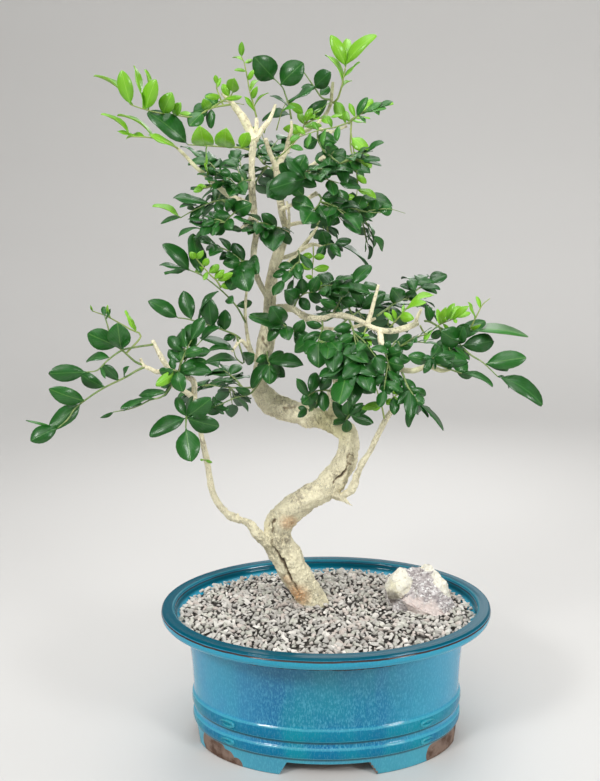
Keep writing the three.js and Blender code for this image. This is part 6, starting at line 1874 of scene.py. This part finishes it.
def leaf_shapes(thickness):
    """Six leaflets of unit length and width: folded, arched, drooping and waved in turn."""
    shapes = bpy.data.collections.new("leaf_shapes")
    for number, (fold, arch, droop, ripple) in enumerate(LEAF_FORMS):
        mesh = bmesh.new()
        place_of = mesh.verts.layers.float_vector.new("leaf_place")
        sheets = []
        for under in (0, 1):
            sheet = []
            for u, half in LEAF_ROWS:
                row = []
                for column in LEAF_COLUMNS:
                    v = column * half
                    lift = fold * abs(v) * (1 - 0.35 * abs(column)) + arch * 4 * u * (1 - u) - droop * u * u
                    lift += ripple * math.sin(9 * u + 2 * column) * abs(column)
                    thin = thickness * (0.5 if abs(column) < 1 else 0.3)
                    vertex = mesh.verts.new((u, v, lift + (-thin if under else thin)))
                    vertex[place_of] = (u, v, under)
                    row.append(vertex)
                sheet.append(row)
            sheets.append(sheet)
        top, low = sheets
        last, spans = len(LEAF_ROWS) - 1, len(LEAF_COLUMNS) - 1
        for i in range(last):
            for j in range(spans):
                mesh.faces.new((top[i][j], top[i + 1][j], top[i + 1][j + 1], top[i][j + 1]))
                mesh.faces.new((low[i][j], low[i][j + 1], low[i + 1][j + 1], low[i + 1][j]))
        for i in range(last):
            for j, flip in ((0, False), (spans, True)):
                ring = [top[i][j], low[i][j], low[i + 1][j], top[i + 1][j]]
                mesh.faces.new(reversed(ring) if flip else ring)
        for i, flip in ((0, True), (last, False)):
            for j in range(spans):
                ring = [top[i][j], low[i][j], low[i][j + 1], top[i][j + 1]]
                mesh.faces.new(reversed(ring) if flip else ring)
        bmesh.ops.recalc_face_normals(mesh, faces=mesh.faces)
        name = f"leaf_{number}"
        data = new_mesh(name, mesh)
        data.shade_smooth()
        shapes.objects.link(bpy.data.objects.new(name, data))
    return shapes


def leaf_tree():
    """Stands a leaflet on every root and joins them to the stalks."""
    tree, add = geometry_tree(
        "Leaflets on stalks",
        (
            ("Roots", "NodeSocketObject", None),
            ("Shapes", "NodeSocketCollection", None),
            ("Leaf", "NodeSocketMaterial", None),
            ("Stalk", "NodeSocketMaterial", None),
            ("Seed", "NodeSocketInt", 1),
        ),
    )
    inputs = add("NodeGroupInput").outputs

    def named(name, kind):
        return live_output(add("GeometryNodeInputNamedAttribute", {"Name": name}, data_type=kind))

    roots = add("GeometryNodeObjectInfo", {"Object": inputs["Roots"]})
    form = random_value(tree, add, "INT", 0, len(LEAF_FORMS) - 1, inputs["Seed"])
    spin, size = named("spin", "FLOAT_VECTOR"), named("size", "FLOAT_VECTOR")
    leaflets = placed_shapes(add, inputs, roots.outputs["Geometry"], form, spin, size)
    leaves = dressed(add, leaflets, inputs["Leaf"])
    stalks = add("GeometryNodeSetMaterial", {0: inputs["Geometry"], "Material": inputs["Stalk"]})
    both = add("GeometryNodeJoinGeometry")
    tree.links.new(leaves, both.inputs[0])
    tree.links.new(stalks.outputs[0], both.inputs[0])
    out = add("NodeGroupOutput")
    tree.links.new(both.outputs[0], out.inputs[0])
    return tree


def along_line(line, share):
    """Place and direction at a share of a smooth line's length."""
    lengths = [(b[0] - a[0]).length for a, b in zip(line, line[1:])]
    left = share * sum(lengths)
    for i, length in enumerate(lengths):
        if left <= length or i == len(lengths) - 1:
            a, b = line[i][0], line[i + 1][0]
            return a + (b - a) * min(1, left / max(length, 1e-6)), (b - a).normalized()
        left -= length


def leaf_face(direction, turn):
    """The way a leaflet's upper side looks: to the front at turn 0, up at turn 90."""
    front = Vector((0, -1, 0)) + direction * direction.y
    front.normalize()
    other = direction.cross(front)
    if other.z < 0:
        other.negate()
    angle = math.radians(turn)
    return front * math.cos(angle) + other * math.sin(angle)


def spin_of(direction, face):
    """Euler turn that lays a leaflet's length along a direction with its upper side to `face`."""
    x = direction.normalized()
    z = (face - x * face.dot(x)).normalized()
    y = z.cross(x)
    return Matrix((x, y, z)).transposed().to_euler()


# Old leaflets between these sides of the crown and under this height have this chance of a smaller
# sister behind them.
CROWN_LEFT = -95
CROWN_RIGHT = 105
CROWN_HEIGHT = 505
SISTER_CHANCE = 0.55


class Spray:
    """Stalk tubes and leaflet roots of one spray, gathered before the leaflets are placed."""

    def __init__(self, seed):
        self.draw = random.Random(seed)
        self.stalks = bmesh.new()
        self.tone = self.stalks.verts.layers.float.new("tone")
        self.roots = []

    def stalk(self, line, tone, sides=6):
        for vertex in add_tube(self.stalks, line, sides):
            vertex[self.tone] = tone

    def leaf(self, root, tip, width, face, tone):
        direction = tip - root
        length = direction.length
        self.roots.append((root, spin_of(direction, face), (length, width, length), tone))

    def shoot(self, tone, radius, points, leaves=(), fronds=()):
        """Adds one row of SPRAYS; low fronds of the front pad are shorter and fewer."""
        count = len(points)
        rows = [(*p, radius * (1 - 0.5 * i / (count - 1))) for i, p in enumerate(points)]
        line = smooth_line(rows, 3)
        self.stalk(line, 0.15 + 0.7 * tone)
        for share, x, y, z, width, *own in leaves:
            root, _ = along_line(line, share)
            tip = Vector((x, y, z))
            turn = own[0] if own else 0
            shade = own[1] if len(own) > 1 else tone
            fresh = shade > 0.6
            shade = min(1, max(0, shade * 0.9 + self.draw.uniform(-0.04, 0.24)))
            turn += self.draw.uniform(-9, 9)
            width *= 0.86 if fresh else 1.06
            self.leaf(root, tip, width, leaf_face((tip - root).normalized(), turn), shade)
            inner = CROWN_LEFT < x < CROWN_RIGHT and z < CROWN_HEIGHT
            if inner and shade < 0.45 and self.draw.random() < SISTER_CHANCE:
                self.sister(root, tip - root, width, shade)
        for share, x, y, z, number, length, *own in fronds:
            shade = own[0] if own else tone
            tip = Vector((x, y, z))
            on_pad = x > 20 and y < -55 and z < 380
            length *= 0.66 if on_pad else 1
            self.frond(line, share, tip, number, length, shade)
            for _ in range(2 if shade < 0.5 and not on_pad else 1):
                aside = (self.draw.uniform(-10, 10), self.draw.uniform(2, 13), self.draw.uniform(-8, 8))
                self.frond(line, share, tip + Vector(aside), number, length * 0.92, shade * 0.8)

    def sister(self, root, reach, width, tone):
        """A smaller leaflet from the same place, turned aside and set further back."""
        swing = math.radians(self.draw.choice((-1, 1)) * self.draw.uniform(35, 70))
        aim = reach.copy()
        aim.rotate(Euler((0, swing, 0)))
        aim = aim * self.draw.uniform(0.6, 0.8) + Vector((0, self.draw.uniform(3, 9), 0))
        face = leaf_face(aim.normalized(), self.draw.uniform(20, 70))
        self.leaf(root, root + aim, width * 0.72, face, tone * 0.8)

    def frond(self, line, share, tip, number, length, tone):
        """Adds a side stalk with leaflets left and right in turn and one at its tip."""
        root, _ = along_line(line, share)
        middle = root.lerp(tip, 0.5) + Vector((0, 0, 2))
        stalk = smooth_line([(*root, 0.75), (*middle, 0.62), (*tip, 0.45)], 3)
        self.stalk(stalk, 0.25 + 0.7 * tone)
        direction = (tip - root).normalized()
        face = Vector((0.1, -0.45, 0.9))
        face = (face - direction * face.dot(direction)).normalized()
        across = direction.cross(face)
        for i in range(number):
            last = i == number - 1
            place = 1 if last else 0.32 + 0.62 * i / max(number - 1, 1)
            side = 1 if i % 2 else -1
            size = length * (0.72 + 0.28 * place) * self.draw.uniform(0.92, 1.08)
            size *= 1.2 if tone < 0.5 else 1
            aim = direction * (1 if last else 0.55)
            aim += across * (0.1 * side if last else side * 0.8)
            aim += face * self.draw.uniform(-0.31, 0.19)
            base, _ = along_line(stalk, place)
            tilt = face + across * self.draw.uniform(-0.45, 0.45)
            width = size * self.draw.uniform(0.52, 0.6)
            shade = min(1, max(0, tone * 0.85 + self.draw.uniform(-0.03, 0.3)))
            self.leaf(base, base + aim.normalized() * size, width, tilt, shade)

    def root_object(self, name):
        """Loose points at the leaflets' roots, with each one's turn, size and tone as attributes."""
        data = bpy.data.meshes.new(name)
        data.from_pydata([tuple(at(*root[0])) for root in self.roots], [], [])
        layers = {
            "spin": ("FLOAT_VECTOR", "vector", [tuple(root[1]) for root in self.roots]),
            "size": ("FLOAT_VECTOR", "vector", [tuple(v * MM for v in root[2]) for root in self.roots]),
            "tone": ("FLOAT", "value", [root[3] for root in self.roots]),
        }
        for label, (kind, field, values) in layers.items():
            layer = data.attributes.new(label, kind, "POINT")
            for item, value in zip(layer.data, values):
                setattr(item, field, value)
        return new_object(name, data)


class BONSAI_OT_leaves(bpy.types.Operator):
    """Grows every leafy spray: green stalks with folded, veined leaflets"""

    bl_idname = "bonsai.leaves"
    bl_label = "Leafy sprays"

    def execute(self, context):
        wish = settings().leaf
        shapes = leaf_shapes(wish.thickness / MIDDLING_LEAF)
        tree = leaf_tree()
        leaf, stalk = leaf_material(), stalk_material()
        guests = {}
        for guest, host in CARRIED_BY.items():
            guests.setdefault(host, []).extend(SPRAYS[guest])
        for number, (name, shoots) in enumerate(SPRAYS.items()):
            if name in CARRIED_BY:
                continue
            spray = Spray(wish.seed + number)
            for shoot in shoots + guests.get(name, []):
                spray.shoot(*shoot)
            roots = spray.root_object(f"roots_{name}")
            piece = new_object(f"leafy_{name}", spray.stalks)
            run_tree(piece, tree, Roots=roots, Shapes=shapes, Leaf=leaf, Stalk=stalk, Seed=number)
            drop(roots)
            slot = "leaf_lime" if shoots[0][0] > 0.5 else "leaf"
            declare(piece, slot, f"spray_{name}")
        drop_shapes(shapes)
        return {"FINISHED"}


# Stage

# The floor sweeps up into a wall: radius and height of each ring, in metres.
SWEEP = (
    (1.3, -0.0002), (1.6, -0.0002), (1.9, 0.02), (2.2, 0.10), (2.45, 0.26), (2.62, 0.50), (2.72, 0.80),
    (2.78, 1.2), (2.8, 1.8), (2.8, 2.6),
)  # fmt: skip
SWEEP_SECTORS = 72

# Area lamps, all aimed at one place: name, place in metres, size and share of the main light's power.
LAMPS = (
    ("key", (-0.75, -0.95, 1.05), 0.24, 1.0),
    ("fill", (0.85, -0.85, 0.75), 0.26, 0.75),
    ("top", (0.1, 0.25, 1.5), 0.9, 0.8),
    ("rim", (0.2, 1.1, 0.9), 0.7, 0.4),
)
LAMP_AIM = Vector((0, 0, 0.28))

# The camera's place in millimetres from the pot's middle, and its pitch, yaw and roll in degrees.
CAMERA_PLACE = (-10.3, -754.15, 446.9)
CAMERA_TURN = (9.002, -0.83, -0.70)


class BONSAI_OT_stage(bpy.types.Operator):
    """Sets the pale floor, the soft lights and the camera at the photograph's angle"""

    bl_idname = "bonsai.stage"
    bl_label = "Floor, light and camera"

    def execute(self, context):
        wish = settings().stage
        self.floor(wish.floor)
        self.lights(wish.power)
        self.camera(wish.focal)
        return {"FINISHED"}

    def floor(self, colour):
        mesh = bmesh.new()
        rings = []
        turns = [math.tau * i / SWEEP_SECTORS for i in range(SWEEP_SECTORS)]
        for radius, height in SWEEP:
            places = [(radius * math.cos(a), radius * math.sin(a), height) for a in turns]
            rings.append([mesh.verts.new(place) for place in places])
        loft(mesh, rings)
        for face in mesh.faces:
            face.smooth = True
        mesh.faces.new(rings[0])
        bmesh.ops.reverse_faces(mesh, faces=[face for face in mesh.faces if face.normal.z < 0])
        floor = new_object("floor", mesh)
        s = Shader("floor")
        s.set(Base_Color=colour, Roughness=0.8)
        coat(floor, s.material)
        world = bpy.data.worlds.new("studio")
        world.use_nodes = True
        back = world.node_tree.nodes["Background"]
        back.inputs[0].default_value = (0.86, 0.87, 0.90, 1)
        back.inputs[1].default_value = 0.38
        bpy.context.scene.world = world
        bpy.context.scene.view_settings.view_transform = "Standard"

    def lights(self, power):
        for name, place, size, share in LAMPS:
            data = bpy.data.lights.new(name, "AREA")
            data.energy = power * share
            data.size = size
            lamp = new_object(name, data)
            lamp.location = place
            lamp.rotation_euler = (LAMP_AIM - Vector(place)).to_track_quat("-Z", "Y").to_euler()
        data = bpy.data.lights.new("even", "SUN")
        data.energy = power * 0.16
        data.angle = math.radians(60)
        lamp = new_object("even", data)
        lamp.rotation_euler = Euler((math.radians(42), 0, math.radians(-20)))

    def camera(self, focal):
        pitch, yaw, roll = (math.radians(angle) for angle in CAMERA_TURN)
        ahead = Vector((math.sin(yaw) * math.cos(pitch), math.cos(yaw) * math.cos(pitch), -math.sin(pitch)))
        right = Vector((math.cos(yaw), -math.sin(yaw), 0))
        up = right.cross(ahead)
        level, steep = right.copy(), up.copy()
        right = level * math.cos(roll) + steep * math.sin(roll)
        up = steep * math.cos(roll) - level * math.sin(roll)
        data = bpy.data.cameras.new("camera")
        data.lens = focal
        data.sensor_width = 36
        data.clip_start = 0.02
        camera = new_object("camera", data)
        turn = Matrix((right, up, -ahead)).transposed().to_4x4()
        camera.matrix_world = Matrix.Translation(at(*CAMERA_PLACE)) @ turn
        bpy.context.scene.camera = camera


# Panel and start


class BONSAI_PT_panel(bpy.types.Panel):
    """Buttons that build the bonsai piece by piece"""

    bl_idname = "BONSAI_PT_panel"
    bl_label = "Orange jasmine bonsai"
    bl_space_type = "VIEW_3D"
    bl_region_type = "UI"
    bl_category = "Bonsai"

    def draw(self, context):
        for step in STEPS:
            self.layout.operator(step.bl_idname)
        for part_name in BonsaiSettings.__annotations__:
            group = getattr(settings(), part_name)
            box = self.layout.box()
            for name in group.__annotations__:
                box.prop(group, name)


STEPS = (
    BONSAI_OT_pot,
    BONSAI_OT_filling,
    BONSAI_OT_gravel,
    BONSAI_OT_rock,
    BONSAI_OT_wood,
    BONSAI_OT_leaves,
    BONSAI_OT_stage,
)
GROUPS = (
    PotSettings,
    GravelSettings,
    RockSettings,
    WoodSettings,
    LeafSettings,
    StageSettings,
    BonsaiSettings,
)


def register():
    for kind in (*GROUPS, *STEPS, BONSAI_PT_panel):
        bpy.utils.register_class(kind)
    bpy.types.Scene.bonsai = bpy.props.PointerProperty(type=BonsaiSettings)


def unregister():
    del bpy.types.Scene.bonsai
    for kind in reversed((*GROUPS, *STEPS, BONSAI_PT_panel)):
        bpy.utils.unregister_class(kind)


def main():
    register()
    bpy.ops.bonsai.stage()
    bpy.ops.bonsai.pot()
    bpy.ops.bonsai.filling()
    bpy.ops.bonsai.gravel()
    bpy.ops.bonsai.rock()
    bpy.ops.bonsai.wood()
    bpy.ops.bonsai.leaves()


if __name__ == "__main__":
    main()
